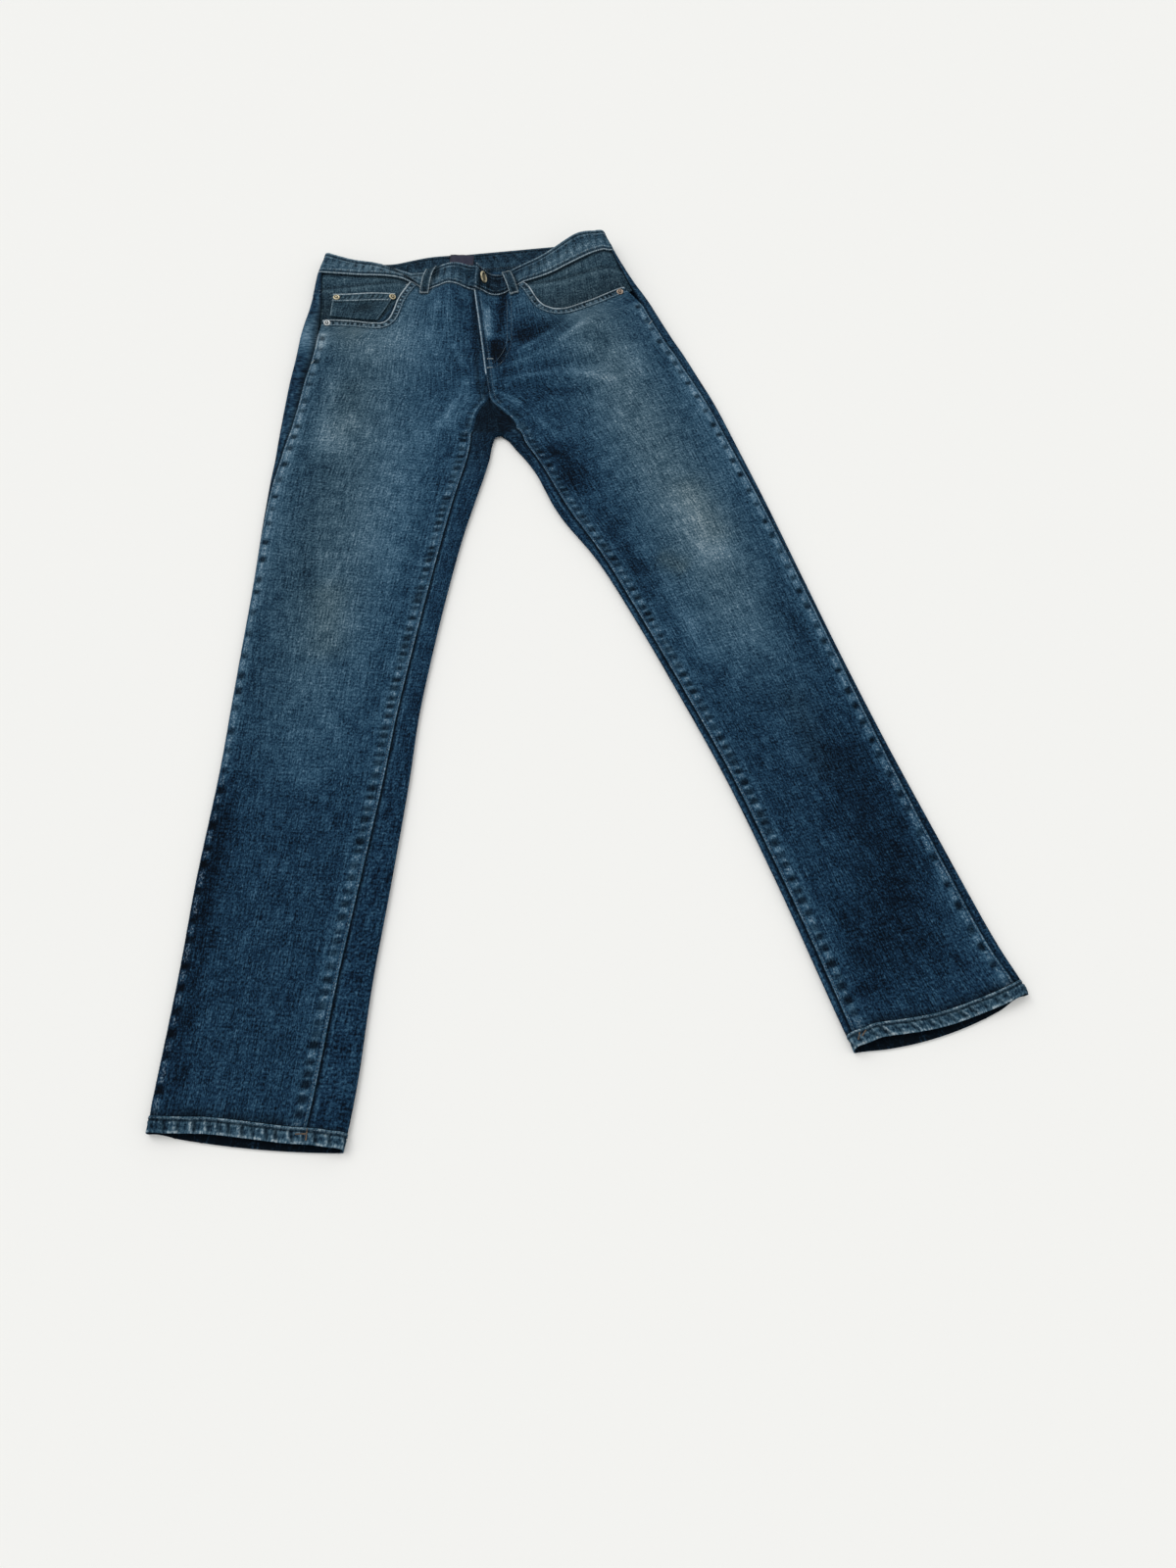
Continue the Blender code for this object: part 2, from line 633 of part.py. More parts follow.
def across_front(column, whole):
    """How far a column of the front lies from its inner end. The last ones are close, for the fold."""
    from_end = FRONT_CELLS - column
    if from_end < len(CLOSE_COLUMNS):
        return whole - CLOSE_COLUMNS[from_end]
    if column == 0:
        return 0.0
    wide = whole - CLOSE_COLUMNS[-1] - FLY_UNDERLAP
    return FLY_UNDERLAP + wide * (column - 1) / (FRONT_CELLS - len(CLOSE_COLUMNS))


def front_row_point(section, inner, column, deep):
    """A point of the front between its inner end and the outseam."""
    quarter = math.pi * section.row.fold_out / 2
    inner_end = section.length() + quarter - inner
    outer_end = section.outseam() + SEAM_GAP / 2
    return section.on_outer(inner_end - across_front(column, inner_end - outer_end), deep)


def straight_row(row):
    """The number of the hip row at a row of cells above the crotch, as far as the pocket mouth."""
    return POCKET_ROW * (row - LEG_CELLS) / STRAIGHT_CELLS


def front_panel(half):
    """Inseam, centre seam and fly on one side, outseam on the other, with the pocket mouth cut away."""

    def place(column, row, deep):
        if row < LEG_CELLS:
            section = leg_section(half, row)
            on_top = section.inseam() + SEAM_GAP / 2 - math.pi * section.row.fold_in / 2
            return front_row_point(section, on_top, column, deep)
        section = hip_section(half, min(straight_row(row), POCKET_ROW))
        under = FLY_UNDERLAP * smooth((section.t - UNDERLAP_ROW) / 0.6) if half == "right" else 0.0
        spot = front_row_point(section, SEAM_GAP / 2 - under, column, deep)
        if row <= LEG_CELLS + STRAIGHT_CELLS:
            laps = half == "left" and column < LAP_COLUMNS
            return on_hip(half, spot.xy, deep) if laps else spot
        edge = front_top_edge(half, column) + Vector((0.0, -SEAM_GAP))
        return on_hip(half, mix(spot.xy, edge, (row - LEG_CELLS - STRAIGHT_CELLS) / POCKET_CELLS), deep)

    return sheet(f"front_{half}", FRONT_CELLS, LEG_CELLS + HIP_CELLS, place, WALL, DENIM)


def round_the_fold(end, radius, cell):
    """The distance round from a folded edge of a cell's line: cell 0 is underneath, where the cloth
    leaves the surface, and the last lies at end, with more lines in the bend than on the flat."""
    quarter = math.pi * radius / 2
    whole = end + quarter
    bend_share = BEND_CELLS / FOLD_CELLS
    bend = min(2 * quarter, whole * bend_share)
    if cell <= BEND_CELLS:
        return -quarter + bend * cell / BEND_CELLS
    return -quarter + bend + (whole - bend) * (cell - BEND_CELLS) / (FOLD_CELLS - BEND_CELLS)


def behind_outseam(section, column, deep):
    """A point of the back between the outseam, column 0, and the underside."""
    outer_end = section.outseam() - SEAM_GAP / 2
    return section.on_outer(round_the_fold(outer_end, section.row.fold_out, FOLD_CELLS - column), deep)


def under_point(section, cell, deep):
    """A point underneath, between the outer foot and the inner foot or the centre back seam."""
    quarter = math.pi * section.row.fold_out / 2
    whole = (section.back - section.outer_foot).length - (SEAM_GAP / 2 if section.hip else 0.0)
    return section.on_outer(-quarter - whole * cell / UNDER_CELLS, deep)


def back_panel(half):
    """From the outseam round the side, underneath, and round the inner leg up to the inseam. Above
    the crotch it ends at the centre back seam, and its fork runs up between the inseams."""
    inner_start = FOLD_CELLS + UNDER_CELLS
    columns = inner_start + FOLD_CELLS
    tip_start = inner_start + BEND_CELLS

    def place(column, row, deep):
        if column >= tip_start and row >= LEG_CELLS:
            return fork_point(half, column - tip_start, row, deep)
        if column > inner_start and row > LEG_CELLS:
            return None
        if row < LEG_CELLS or row == LEG_CELLS and column >= inner_start:
            section = leg_section(half, row)
        else:
            above = max(row - LEG_CELLS - STRAIGHT_CELLS, 0) / BACK_TOP_CELLS
            section = hip_section(half, mix(min(straight_row(row), POCKET_ROW), YOKE_ROW - YOKE_GAP, above))
        if column < FOLD_CELLS:
            return behind_outseam(section, column, deep)
        if column < inner_start or section.hip:
            return under_point(section, column - FOLD_CELLS, deep)
        inner_end = section.inseam() - SEAM_GAP / 2
        return section.on_inner(round_the_fold(inner_end, section.row.fold_in, column - inner_start), deep)

    return sheet(f"back_{half}", columns, LEG_CELLS + STRAIGHT_CELLS + BACK_TOP_CELLS, place, WALL, DENIM)


def fork_point(half, column, row, deep):
    """The back's fork, which shows between the inseams: it narrows to the end of the centre seam."""
    if row > LEG_CELLS + FORK_CELLS:
        return None
    front_end = hip_section(half, straight_row(row))
    part = front_end.t / FORK_ROW
    inseam = front_end.front + (front_end.front - front_end.outer_foot).normalized() * SEAM_GAP / 2
    crotch = leg_section(half, LEG_CELLS)
    centre = mix(crotch.inner_foot, Vector(FORK_TIP), part)
    centre.x += SEAM_GAP / 2 * part * (1 if half == "left" else -1)
    across = column / (FOLD_CELLS - BEND_CELLS)
    plan = mix(centre, inseam, across)
    seam_height = front_end.height(front_end.front)
    centre_height = mix(2 * crotch.row.fold_in, FORK_LOW, smooth(2.5 * part))
    return Vector((plan.x, plan.y, mix(centre_height, seam_height, smooth(across)) - deep))


def yoke(half):
    """The back's upper part, from the outseam round the side to the centre back seam."""

    def place(column, row, deep):
        section = hip_section(half, mix(YOKE_ROW, WAIST_ROW - WAIST_GAP, row / YOKE_CELLS))
        if column < FOLD_CELLS:
            return behind_outseam(section, column, deep)
        return under_point(section, (column - FOLD_CELLS) * UNDER_CELLS / BAND_UNDER_CELLS, deep)

    return sheet(f"yoke_{half}", FOLD_CELLS + BAND_UNDER_CELLS, YOKE_CELLS, place, WALL, DENIM)


def band_line(half, column, section, to_pocket, to_side):
    """A plan point along the band's front: a column's place on its seam or on its top."""
    corner = POCKET_COLUMN[half]
    if column <= corner:
        return to_corner(half, to_pocket, column)
    line = to_side[half][:-1] + [tuple(section.outer_foot)]
    return along(line, (column - corner) / (BAND_FRONT_CELLS - corner))


def waistband(half):
    """Half of the band: from its end at the fly, round the side, to the centre back underneath."""
    low, high = hip_section(half, WAIST_ROW), hip_section(half, WAIST_ROW + 1.0)
    corner = POCKET_COLUMN[half]

    def place(column, row, deep):
        part = row / BAND_CELLS
        if column >= BAND_FRONT_CELLS:
            return spot_of(column, part, deep)
        plan = mix(band_line(half, column, low, WAIST_SEAM, SIDE_SEAM),
                   band_line(half, column, high, WAIST_TOP, SIDE_TOP), part)
        height = max(top_height(half, plan, BAND_WALL), BAND_LOWEST)
        to_side = smooth((column - corner) / (BAND_FRONT_CELLS - corner) * 3.0 - 2.0)
        height = mix(height, spot_of(BAND_FRONT_CELLS, part, 0.0).z, to_side)
        return Vector((plan.x, plan.y, height - deep))

    def spot_of(column, part, deep):
        cell = column - BAND_FRONT_CELLS
        spots = []
        for section in (low, high):
            quarter = math.pi * section.row.fold_out / 2
            if cell <= BEND_CELLS:
                spots.append(section.on_outer(quarter - 2 * quarter * cell / BEND_CELLS, deep))
            else:
                whole = (section.back - section.outer_foot).length - SEAM_GAP / 2
                share = (cell - BEND_CELLS) / BAND_UNDER_CELLS
                spots.append(section.on_outer(-quarter - whole * share, deep))
        return mix(spots[0], spots[1], part)

    columns = BAND_FRONT_CELLS + BEND_CELLS + BAND_UNDER_CELLS
    return sheet(f"waistband_{half}", columns, BAND_CELLS, place, BAND_WALL, DENIM)


def hem(half):
    """The turned-up hem: a closed ring of double cloth round the end of the leg."""

    def place(column, row, deep):
        section = Section(half, HEM_END * row / HEM_CELLS, False)
        quarter = math.pi * section.row.fold_out / 2
        if column <= HEM_FRONT_CELLS:
            spot = section.on_front(section.length() * column / HEM_FRONT_CELLS, deep)
            return spot + Vector((0.0, 0.0, HEM_LIFT))
        cell = column - HEM_FRONT_CELLS
        if cell <= BEND_CELLS:
            turn = 1.0 - 2.0 * cell / BEND_CELLS
            return section.on_inner(quarter * turn, deep) + Vector((0.0, 0.0, HEM_LIFT * (0.5 + 0.5 * turn)))
        cell -= BEND_CELLS
        if cell <= HEM_UNDER_CELLS:
            return section.on_outer(-quarter - section.length() * (1.0 - cell / HEM_UNDER_CELLS), deep)
        turn = -1.0 + 2.0 * (cell - HEM_UNDER_CELLS) / BEND_CELLS
        return section.on_outer(quarter * turn, deep) + Vector((0.0, 0.0, HEM_LIFT * (0.5 + 0.5 * turn)))

    columns = HEM_FRONT_CELLS + HEM_UNDER_CELLS + 2 * BEND_CELLS
    return sheet(f"hem_{half}", columns, HEM_CELLS, place, HEM_WALL, DENIM)


def pocket_facing(half):
    """The cloth that shows in the pocket mouth. Its lower edge runs on behind the front."""
    inner_way = 1.0 if half == "right" else -1.0
    waist = hip_section(half, WAIST_ROW)
    corner = POCKET_COLUMN[half]
    cells = BAND_FRONT_CELLS - corner

    def place(column, row, deep):
        across = column / cells
        top = band_line(half, corner + column, waist, WAIST_SEAM, SIDE_SEAM) + Vector((0.0, -SEAM_GAP))
        mouth = along(POCKET[half], mix(0.0, 0.985, across ** 0.75))
        if column == 0:
            behind_front = 1.0 - FACING_BEHIND / length_of(WAIST_SEAM[half])
            top = along(WAIST_SEAM[half], behind_front) - Vector((0.0, SEAM_GAP))
        behind = 1.0 - smooth(3.0 * across - 1.4)
        low = Vector((mouth.x + inner_way * FACING_BEHIND * behind, mouth.y - FACING_BEHIND * (1.2 - behind)))
        low.y = min(low.y, top.y - 6.0)
        if column == cells:
            low, top = (beside_outseam(half, plan) for plan in (low, top))
        return on_hip(half, mix(low, top, row / FACING_ROWS), FACING_DROP + deep)

    return sheet(f"pocket_facing_{half}", cells, FACING_ROWS, place, WALL, DENIM_DARK)


def beside_outseam(half, plan):
    """The plan point on the same row that lies a seam's gap inside the outseam."""
    section = hip_section(half, min(hip_row_through(half, plan), WAIST_ROW - FACING_SHORT))
    return section.on_outer(section.outseam() + SEAM_GAP).xy


def coin_pocket():
    """The small pocket on the right facing, under its two rivets."""

    def place(column, row, deep):
        across = column / COIN_CELLS
        top = mix(Vector(COIN_TOP_INNER), Vector(COIN_TOP_OUTER), across)
        low = Vector((mix(COIN_LOW_INNER, COIN_TOP_OUTER[0] + 3.0, across), COIN_LOW))
        return on_hip("right", mix(low, top, row / COIN_ROWS), FACING_DROP - WALL - COIN_RISE + deep)

    return sheet("coin_pocket", COIN_CELLS, COIN_ROWS, place, WALL, DENIM)


def surface_of(solids):
    """The outer faces of some sheets, to lay trims on."""
    trees = []
    for solid in solids:
        points = [vertex.co for vertex in solid.data.vertices]
        trees.append(BVHTree.FromPolygons(points, [face.vertices for face in solid.data.polygons]))
    return trees


def drop_on(surfaces, x, y):
    """The highest point and its normal under a plan point, in millimetres. Over a seam's gap, the cloth
    just beside it counts."""
    for beside in (0.0, SEAM_GAP, -SEAM_GAP, 2 * SEAM_GAP):
        above = Vector((x, y + beside, 200.0)) * MM
        hits = [tree.ray_cast(above, Vector((0, 0, -1)))[:2] for tree in surfaces]
        hits = [hit for hit in hits if hit[0] is not None]
        if hits:
            spot, normal = max(hits, key=lambda hit: hit[0].z)
            return spot / MM, normal if normal.z > 0 else -normal
    raise ValueError(f"no cloth under {x:.1f}, {y:.1f}")


def belt_loop(name, foot, head, surfaces):
    """A strip that is tacked to the band at both ends and stands off it between them."""
    run = Vector(head) - Vector(foot)
    side = Vector((run.y, -run.x)).normalized() * LOOP_WIDTH

    def place(column, row, deep):
        part = row / LOOP_ROWS
        plan = Vector(foot) + run * part + side * (column / LOOP_COLUMNS - 0.5)
        spot, _ = drop_on(surfaces, plan.x, plan.y)
        arch = LOOP_ARCH * math.sin(math.pi * part) ** 0.7 if 0 < row < LOOP_ROWS else 0.0
        return spot + Vector((0.0, 0.0, LAYER_GAP * 1.6 + LOOP_WALL + arch - deep))

    return sheet(name, LOOP_COLUMNS, LOOP_ROWS, place, LOOP_WALL, DENIM)


def turned(name, profile, steps, place, normal, material):
    """A turned trim: its profile runs down the outer side from the top to the bottom."""
    mesh = bpy.data.meshes.new(name)
    points = [(radius * MM, 0.0, height * MM) for radius, height in profile]
    mesh.from_pydata(points, [(i, i + 1) for i in range(len(points) - 1)], [])
    solid = add_object(name, mesh, material)
    screw = solid.modifiers.new("turn", "SCREW")
    screw.steps = screw.render_steps = steps
    screw.use_merge_vertices = True
    screw.merge_threshold = 0.00001
    solid.location = place * MM
    solid.rotation_mode = "QUATERNION"
    solid.rotation_quaternion = Vector((0, 0, 1)).rotation_difference(normal)
    return solid


def seat_of(x, y, radius, surfaces):
    """Where a round trim rests: a point on the cloth's normal, clear of all the cloth under it."""
    middle, _ = drop_on(surfaces, x, y)
    around = [
        drop_on(surfaces, x + radius * math.cos(a), y + radius * math.sin(a))[0]
        for a in (step * math.tau / 12 for step in range(12))
    ]
    normal = Vector((0.0, 0.0, 0.0))
    for near, following in zip(around, around[1:] + around[:1]):
        normal += (near - middle).cross(following - middle)
    normal.normalize()
    highest = max((point - middle).dot(normal) for point in around + [middle])
    return middle + normal * (highest + LAYER_GAP), normal


def rivet(row, surfaces):
    place, normal = seat_of(row.x, row.y, RIVET_RADIUS, surfaces)
    return turned(row.name, RIVET_PROFILE, ROUND_STEPS, place, normal, METAL)


def fly_button(surfaces):
    place, normal = seat_of(FLY_BUTTON.x, FLY_BUTTON.y, BUTTON_RADIUS * 0.6, surfaces)
    return turned(FLY_BUTTON.name, BUTTON_PROFILE, ROUND_STEPS + 8, place, normal, METAL)


def flat_piece(name, outline, wall, place, angle, bottom, material):
    """A flat piece that lies level, from its outline in its own millimetres."""
    curve = bpy.data.curves.new(name, "CURVE")
    curve.dimensions = "2D"
    curve.fill_mode = "BOTH"
    curve.extrude = wall * MM / 2
    line = curve.splines.new("POLY")
    line.points.add(len(outline) - 1)
    for point, (x, y) in zip(line.points, outline):
        point.co = (x * MM, y * MM, 0.0, 1.0)
    line.use_cyclic_u = True
    curve.materials.append(material_named(material))
    piece = bpy.data.objects.new(name, curve)
    bpy.data.collections["jeans"].objects.link(piece)
    piece.location = Vector((place[0], place[1], bottom + wall / 2)) * MM
    piece.rotation_euler.z = angle
    return piece


def rectangle(width, height):
    return [(x * width / 2, y * height / 2) for x, y in ((-1, -1), (1, -1), (1, 1), (-1, 1))]


def back_pocket(half):
    """A pocket under the seat. It lies level, and the seat rests on it."""
    section = hip_section(half, YOKE_ROW - 0.18)
    run = section.back - section.outer_foot
    if half == "right":
        start, run = section.outer_foot, run
    else:
        start, run = section.back, -run
    place = start + run * (0.50 if half == "right" else 0.47)
    return flat_piece(
        f"back_pocket_{half}", BACK_POCKET, POCKET_WALL, place, math.atan2(run.y, run.x), 0.0, DENIM
    )


def back_loops():
    """The three loops under the back of the band, which rest on the surface."""
    for name, half, share in BACK_LOOPS:
        foot, head = (
            hip_section(half, row).on_outer(-quarter_turn(half, row) - share * under_length(half, row)).xy
            for row in (WAIST_ROW, WAIST_ROW + 1.0)
        )
        run = (head - foot).normalized()
        turn = math.atan2(run.y, run.x) - math.pi / 2
        outline = rectangle(LOOP_WIDTH, BACK_LOOP_LENGTH)
        flat_piece(name, outline, POCKET_WALL, mix(foot, head, 0.46), turn, 0.0, DENIM)


def quarter_turn(half, row):
    """A quarter of the way round the folded side at a hip row."""
    return math.pi * hip_section(half, row).row.fold_out / 2


def under_length(half, row):
    """From the folded side to the centre back, underneath."""
    section = hip_section(half, row)
    return (section.back - section.outer_foot).length


def inner_label():
    """A plain woven label inside the back of the band."""
    bottom = SEAT_REST + BAND_WALL + LAYER_GAP
    outline = rectangle(*LABEL_SIZE)
    return flat_piece("inner_label", outline, LABEL_WALL, LABEL_PLACE, LABEL_TURN, bottom, LABEL)


def build_all():
    """Every piece, the cloth first, since the trims are laid on it."""
    cloth = {}
    for half in ("right", "left"):
        cloth["front", half] = front_panel(half)
        back_panel(half)
        yoke(half)
        cloth["band", half] = waistband(half)
        hem(half)
        cloth["facing", half] = pocket_facing(half)
        back_pocket(half)
    coin = coin_pocket()
    right = surface_of([cloth["front", "right"], cloth["band", "right"], coin, cloth["facing", "right"]])
    left = surface_of([cloth["front", "left"], cloth["band", "left"], cloth["facing", "left"]])
    belt_loop("belt_loop_right", *LOOP_RIGHT, right)
    belt_loop("belt_loop_left", *LOOP_LEFT, left)
    back_loops()
    for row in RIVETS:
        rivet(row, left if "left" in row.name else right)
    fly_button(left)
    inner_label()


def centre_on_origin():
    """Moves the whole so that its box stands centred on the origin, with its underside at 0."""
    bpy.context.view_layer.update()
    graph = bpy.context.evaluated_depsgraph_get()
    solids = list(bpy.data.collections["jeans"].objects)
    corners = []
    for solid in solids:
        evaluated = solid.evaluated_get(graph)
        mesh = evaluated.to_mesh()
        corners += [evaluated.matrix_world @ vertex.co for vertex in mesh.vertices]
        evaluated.to_mesh_clear()
    shift = Vector(
        [-(min(c.x for c in corners) + max(c.x for c in corners)) / 2,
         -(min(c.y for c in corners) + max(c.y for c in corners)) / 2,
         -min(c.z for c in corners)]
    )
    for solid in solids:
        solid.location += shift


def clear_scene():
    for obj in list(bpy.data.objects):
        bpy.data.objects.remove(obj)
    if "jeans" not in bpy.data.collections:
        bpy.context.scene.collection.children.link(bpy.data.collections.new("jeans"))


clear_scene()
build_all()
centre_on_origin()
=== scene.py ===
# %% [markdown]
# # Slim fit jeans, laid flat
# A pair of blue jeans lies on its back on a pale surface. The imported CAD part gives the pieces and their
# places. Here each of them is hidden behind a finer shell of cloth on the same form, with creases, puckers,
# sewing, metal trims and the colour of washed denim, in the light and camera of the photograph.

# %% The frame
import functools
import math
from collections import namedtuple

import bpy
import numpy as np
from mathutils import Matrix, Vector
from mathutils.bvhtree import BVHTree


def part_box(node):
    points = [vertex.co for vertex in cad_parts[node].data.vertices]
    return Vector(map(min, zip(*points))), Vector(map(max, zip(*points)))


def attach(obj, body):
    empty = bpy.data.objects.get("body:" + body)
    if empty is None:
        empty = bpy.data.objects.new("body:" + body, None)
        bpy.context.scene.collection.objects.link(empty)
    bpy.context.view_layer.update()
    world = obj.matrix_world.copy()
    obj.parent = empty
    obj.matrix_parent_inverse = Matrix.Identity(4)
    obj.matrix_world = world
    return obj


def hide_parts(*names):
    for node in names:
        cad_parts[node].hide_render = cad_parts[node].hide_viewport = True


MM = 0.001
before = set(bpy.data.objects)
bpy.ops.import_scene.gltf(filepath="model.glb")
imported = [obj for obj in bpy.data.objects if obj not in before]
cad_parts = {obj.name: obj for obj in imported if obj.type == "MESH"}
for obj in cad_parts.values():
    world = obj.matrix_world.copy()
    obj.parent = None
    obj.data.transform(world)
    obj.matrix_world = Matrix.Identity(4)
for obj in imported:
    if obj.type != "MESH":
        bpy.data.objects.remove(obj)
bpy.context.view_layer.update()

# %% [markdown]
# ## The laid form
# Jeans laid flat are two flattened tubes that share a seat. The CAD part works each tube out from rows that
# cross it, and the same rows stand here, in millimetres on the surface. Points read back from the CAD mesh
# would bring its coarse facets. The rows give smooth cloth in the same place.

# %% Sizes of the cloth, in millimetres
WALL = 1.3
BAND_WALL = 2.6
HEM_LIFT = 0.7
SEAM_GAP = 0.3
LAYER_GAP = 0.35
SEAT_REST = 1.9
FLY_UNDERLAP = 8.0
FLY_CLEAR = 0.6

# Cells in the sheets.
LEG_CELLS = 30
HIP_CELLS = 14
YOKE_CELLS = 4
BAND_CELLS = 4
FRONT_CELLS = 16
FOLD_CELLS = 8
UNDER_CELLS = 4
BEND_CELLS = 5
FORK_CELLS = 4
POCKET_CELLS = 6
STRAIGHT_CELLS = HIP_CELLS - POCKET_CELLS
BACK_TOP_CELLS = 3
BAND_FRONT_CELLS = 20
BAND_UNDER_CELLS = 8
HEM_CELLS = 2
HEM_FRONT_CELLS = 14
HEM_UNDER_CELLS = 6
FACING_ROWS = 4
COIN_CELLS = 8
COIN_ROWS = 4
TURN_CELLS = 2
# Distances of the front's last columns from the outseam, so that its fold is round.
CLOSE_COLUMNS = (0.0, 3.0, 6.5, 11.0)

# Where the seams run, as numbers of rows in LEG and HIP.
HEM_ROW = 1.0
HEM_END = 0.979
POCKET_ROW = 3.85
YOKE_ROW = 5.25
YOKE_GAP = 0.004
WAIST_ROW = 6.0
WAIST_GAP = 0.006

# The fork of the back, between the inseams.
FORK_TIP = (-152.0, 947.0)
FORK_ROW = 2
FORK_LOW = 6.3

# How far in from a folded edge the cloth beside it is lifted, on a leg and at the waist.
EDGE_REACH = 48.0
WAIST_REACH = 110.0
# The cloth of the hips stands at least this much off the layer under it.
HIP_SLACK = 1.6
BAND_LOWEST = 7.6

# The wearer's left laps over the right from this row on, as far in as this.
LAP_ROW = 2.3
LAP_FULL = 10.0
LAP_REACH = 24.0
LAP_COLUMNS = 5
UNDERLAP_ROW = 3.2

FACING_BEHIND = 8.0
FACING_SHORT = 0.03
FACING_DROP = 2.6
COIN_RISE = 0.75
COIN_TOP_INNER = (-301.5, 1133.5)
COIN_TOP_OUTER = (-386.0, 1124.0)
COIN_LOW_INNER = -318.0
COIN_LOW = 1081.5

# %% Rows of the form
LegRow = namedtuple("LegRow", "name outer_x outer_y inner_x inner_y outseam inseam fold_out fold_in middle")
HipRow = namedtuple(
    "HipRow", "name outer_x outer_y front_x front_y back_x back_y outseam fold_out centre middle rest"
)
Fold = namedtuple("Fold", "name from_x from_y to_x to_y width height")


def table(kind, text):
    """Rows of a table that is written as text. Each line has a name, a colon and the numbers of a row,
    or of several rows with strokes between them."""
    lines = (line.split(":") for line in text.strip().splitlines())
    return [kind(name, *map(float, row.split())) for name, rows in lines for row in rows.split("/")]


# outer and inner are the folded edges seen from above. outseam and inseam are how far the seam lies
# in from its edge, fold_out and fold_in the radii of the edges, middle the height between them.
LEG = {
    "right": table(LegRow, """
hem: -354 62.5 -183.5 57 0 35 3.9 3.9 5.8
hem stitch: -355 76.5 -182.5 71 0 35 3.8 3.8 5.6
ankle: -357 120 -181 120 0 35 3.5 3.5 4.7
shin: -361 200 -182 200 0 32 3.4 3.4 4.4
low calf: -367.5 290 -179.5 290 0 30 3.4 3.4 4.3
calf: -372 400 -177.5 400 0 26 3.4 3.4 4.3
below knee: -378 480 -178 480 0 23 3.4 3.4 4.4
knee: -384 560 -174 560 0 22 3.4 3.4 4.6
above knee: -390 640 -168 640 0.15 22 3.4 3.4 4.7
low thigh: -397.5 720 -160 720 1 23 3.4 3.4 4.8
thigh: -402 780 -151 780 3.5 26 3.5 3.5 4.9
high thigh: -405 830 -143.5 828 8 27 3.5 3.5 5.1
under crotch: -407.5 865 -139.8 860 12 27 3.6 3.6 5.3
crotch turn: -408.4 877 -139.2 875 14 28 3.6 3.6 5.4
crotch bend: -409.2 889 -136.6 885 15 33 3.6 3.6 5.4
crotch: -410 900 -130.15 888 16 40 3.6 3.6 5.4
"""),
    "left": table(LegRow, """
hem: 430 228 262 165 8 5 3.9 3.9 5.8
hem stitch: 425 241 256.5 178 8 5 3.8 3.8 5.6
ankle: 404 283 239.5 219 10 6 3.5 3.5 4.7
shin: 369 367 201 313 9 6 3.4 3.4 4.4
calf: 323 479 151 426 7 6 3.4 3.4 4.4
knee: 283 584 101 524 5 6 3.4 3.4 4.5
above knee: 241.5 699 50.5 618 5 6 3.4 3.4 4.7
low thigh: 206 798 1 702 6 8 3.4 3.4 4.8
thigh: 173.5 884 -49 768 8 13 3.5 3.5 4.9
high thigh: 144 961 -83.5 833 10 11 3.6 3.5 5.2
crotch turn: 122 1009 -112 870 11 15 3.6 3.6 5.4
crotch bend: 114 1026 -121.5 882 11.5 20 3.6 3.6 5.4
crotch: 106 1043 -129.85 888 12 23.5 3.7 3.6 5.4
"""),
}

# front is the end of the row on the front: the inseam, then the centre seam, then the fly. back is
# the centre back seam, underneath. rest is how high the underside lies: the seat lies on its
# pockets and belt loops.
HIP = {
    "right": table(HipRow, """
crotch: -410 900 -165.5 893 -130 891.6 16 3.6 5.8 5.4 0
fork: -411.5 930 -162.5 922 -138.5 924 18 3.7 6.4 6 0.9
front fork: -412.5 957 -152 947 -147.5 955 19 3.9 7.4 6.9 1.9
fly base: -413.5 1003 -162 993 -160.5 1000 22 4.2 8.8 7.6 1.9
low hip: -415.5 1050 -172.5 1045 -174 1048 23 4.6 10.2 8.2 1.9
high hip: -413.5 1105 -183.5 1092 -191 1106 15 5 11.2 9.2 1.9
waist seam: -416 1166 -193 1149 -214 1193 7 5.4 12 11.2 1.9
waist top: -413 1207 -194.5 1194 -220.5 1232 6 5.6 12 11.5 1.9
"""),
    "left": table(HipRow, """
crotch: 106 1043 -113.8 902.6 -130 891.6 12 3.7 6.4 5.4 0
fork: 98 1058 -119 914 -138.5 924 12 3.9 6.6 6 0.9
front fork: 88 1075 -152 947 -147.5 955 13 4.4 7.4 7 1.9
fly base: 70 1110 -162 993 -160.5 1000 13 5.2 8.8 7.9 1.9
low hip: 49 1152 -172.5 1045 -174 1048 13 6.4 10.2 8.8 1.9
high hip: 22 1199 -183.5 1092 -191 1106 10 8.2 11.2 10.4 1.9
waist seam: 0 1243 -193 1149 -214 1193 8 10.6 12 14 1.9
waist top: -17 1283 -194.5 1194 -220.5 1232 6 11.6 12 16 1.9
"""),
}

# The waist seam and the top of the band on the front: from the fly to the pocket mouth, then on to
# the side.
WAIST_SEAM = {
    "right": [(-193, 1146), (-214, 1150), (-234, 1154), (-252, 1150), (-268, 1153), (-284, 1159)],
    "left": [(-193, 1146), (-172, 1143), (-150, 1152), (-127, 1172)],
}
SIDE_SEAM = {
    "right": [(-284, 1159), (-302, 1166), (-340, 1164), (-375, 1166), (-409, 1163)],
    "left": [(-127, 1172), (-100, 1187), (-60, 1210), (-20, 1238), (-9, 1244)],
}
WAIST_TOP = {
    "right": [(-195, 1194), (-214, 1193), (-234, 1195), (-252, 1192), (-268, 1184), (-284, 1175)],
    "left": [(-195, 1194), (-172, 1184), (-150, 1192), (-127, 1208)],
}
SIDE_TOP = {
    "right": [(-284, 1175), (-302, 1180), (-340, 1190), (-375, 1197), (-406, 1205)],
    "left": [(-127, 1208), (-100, 1229), (-60, 1263), (-28, 1288)],
}
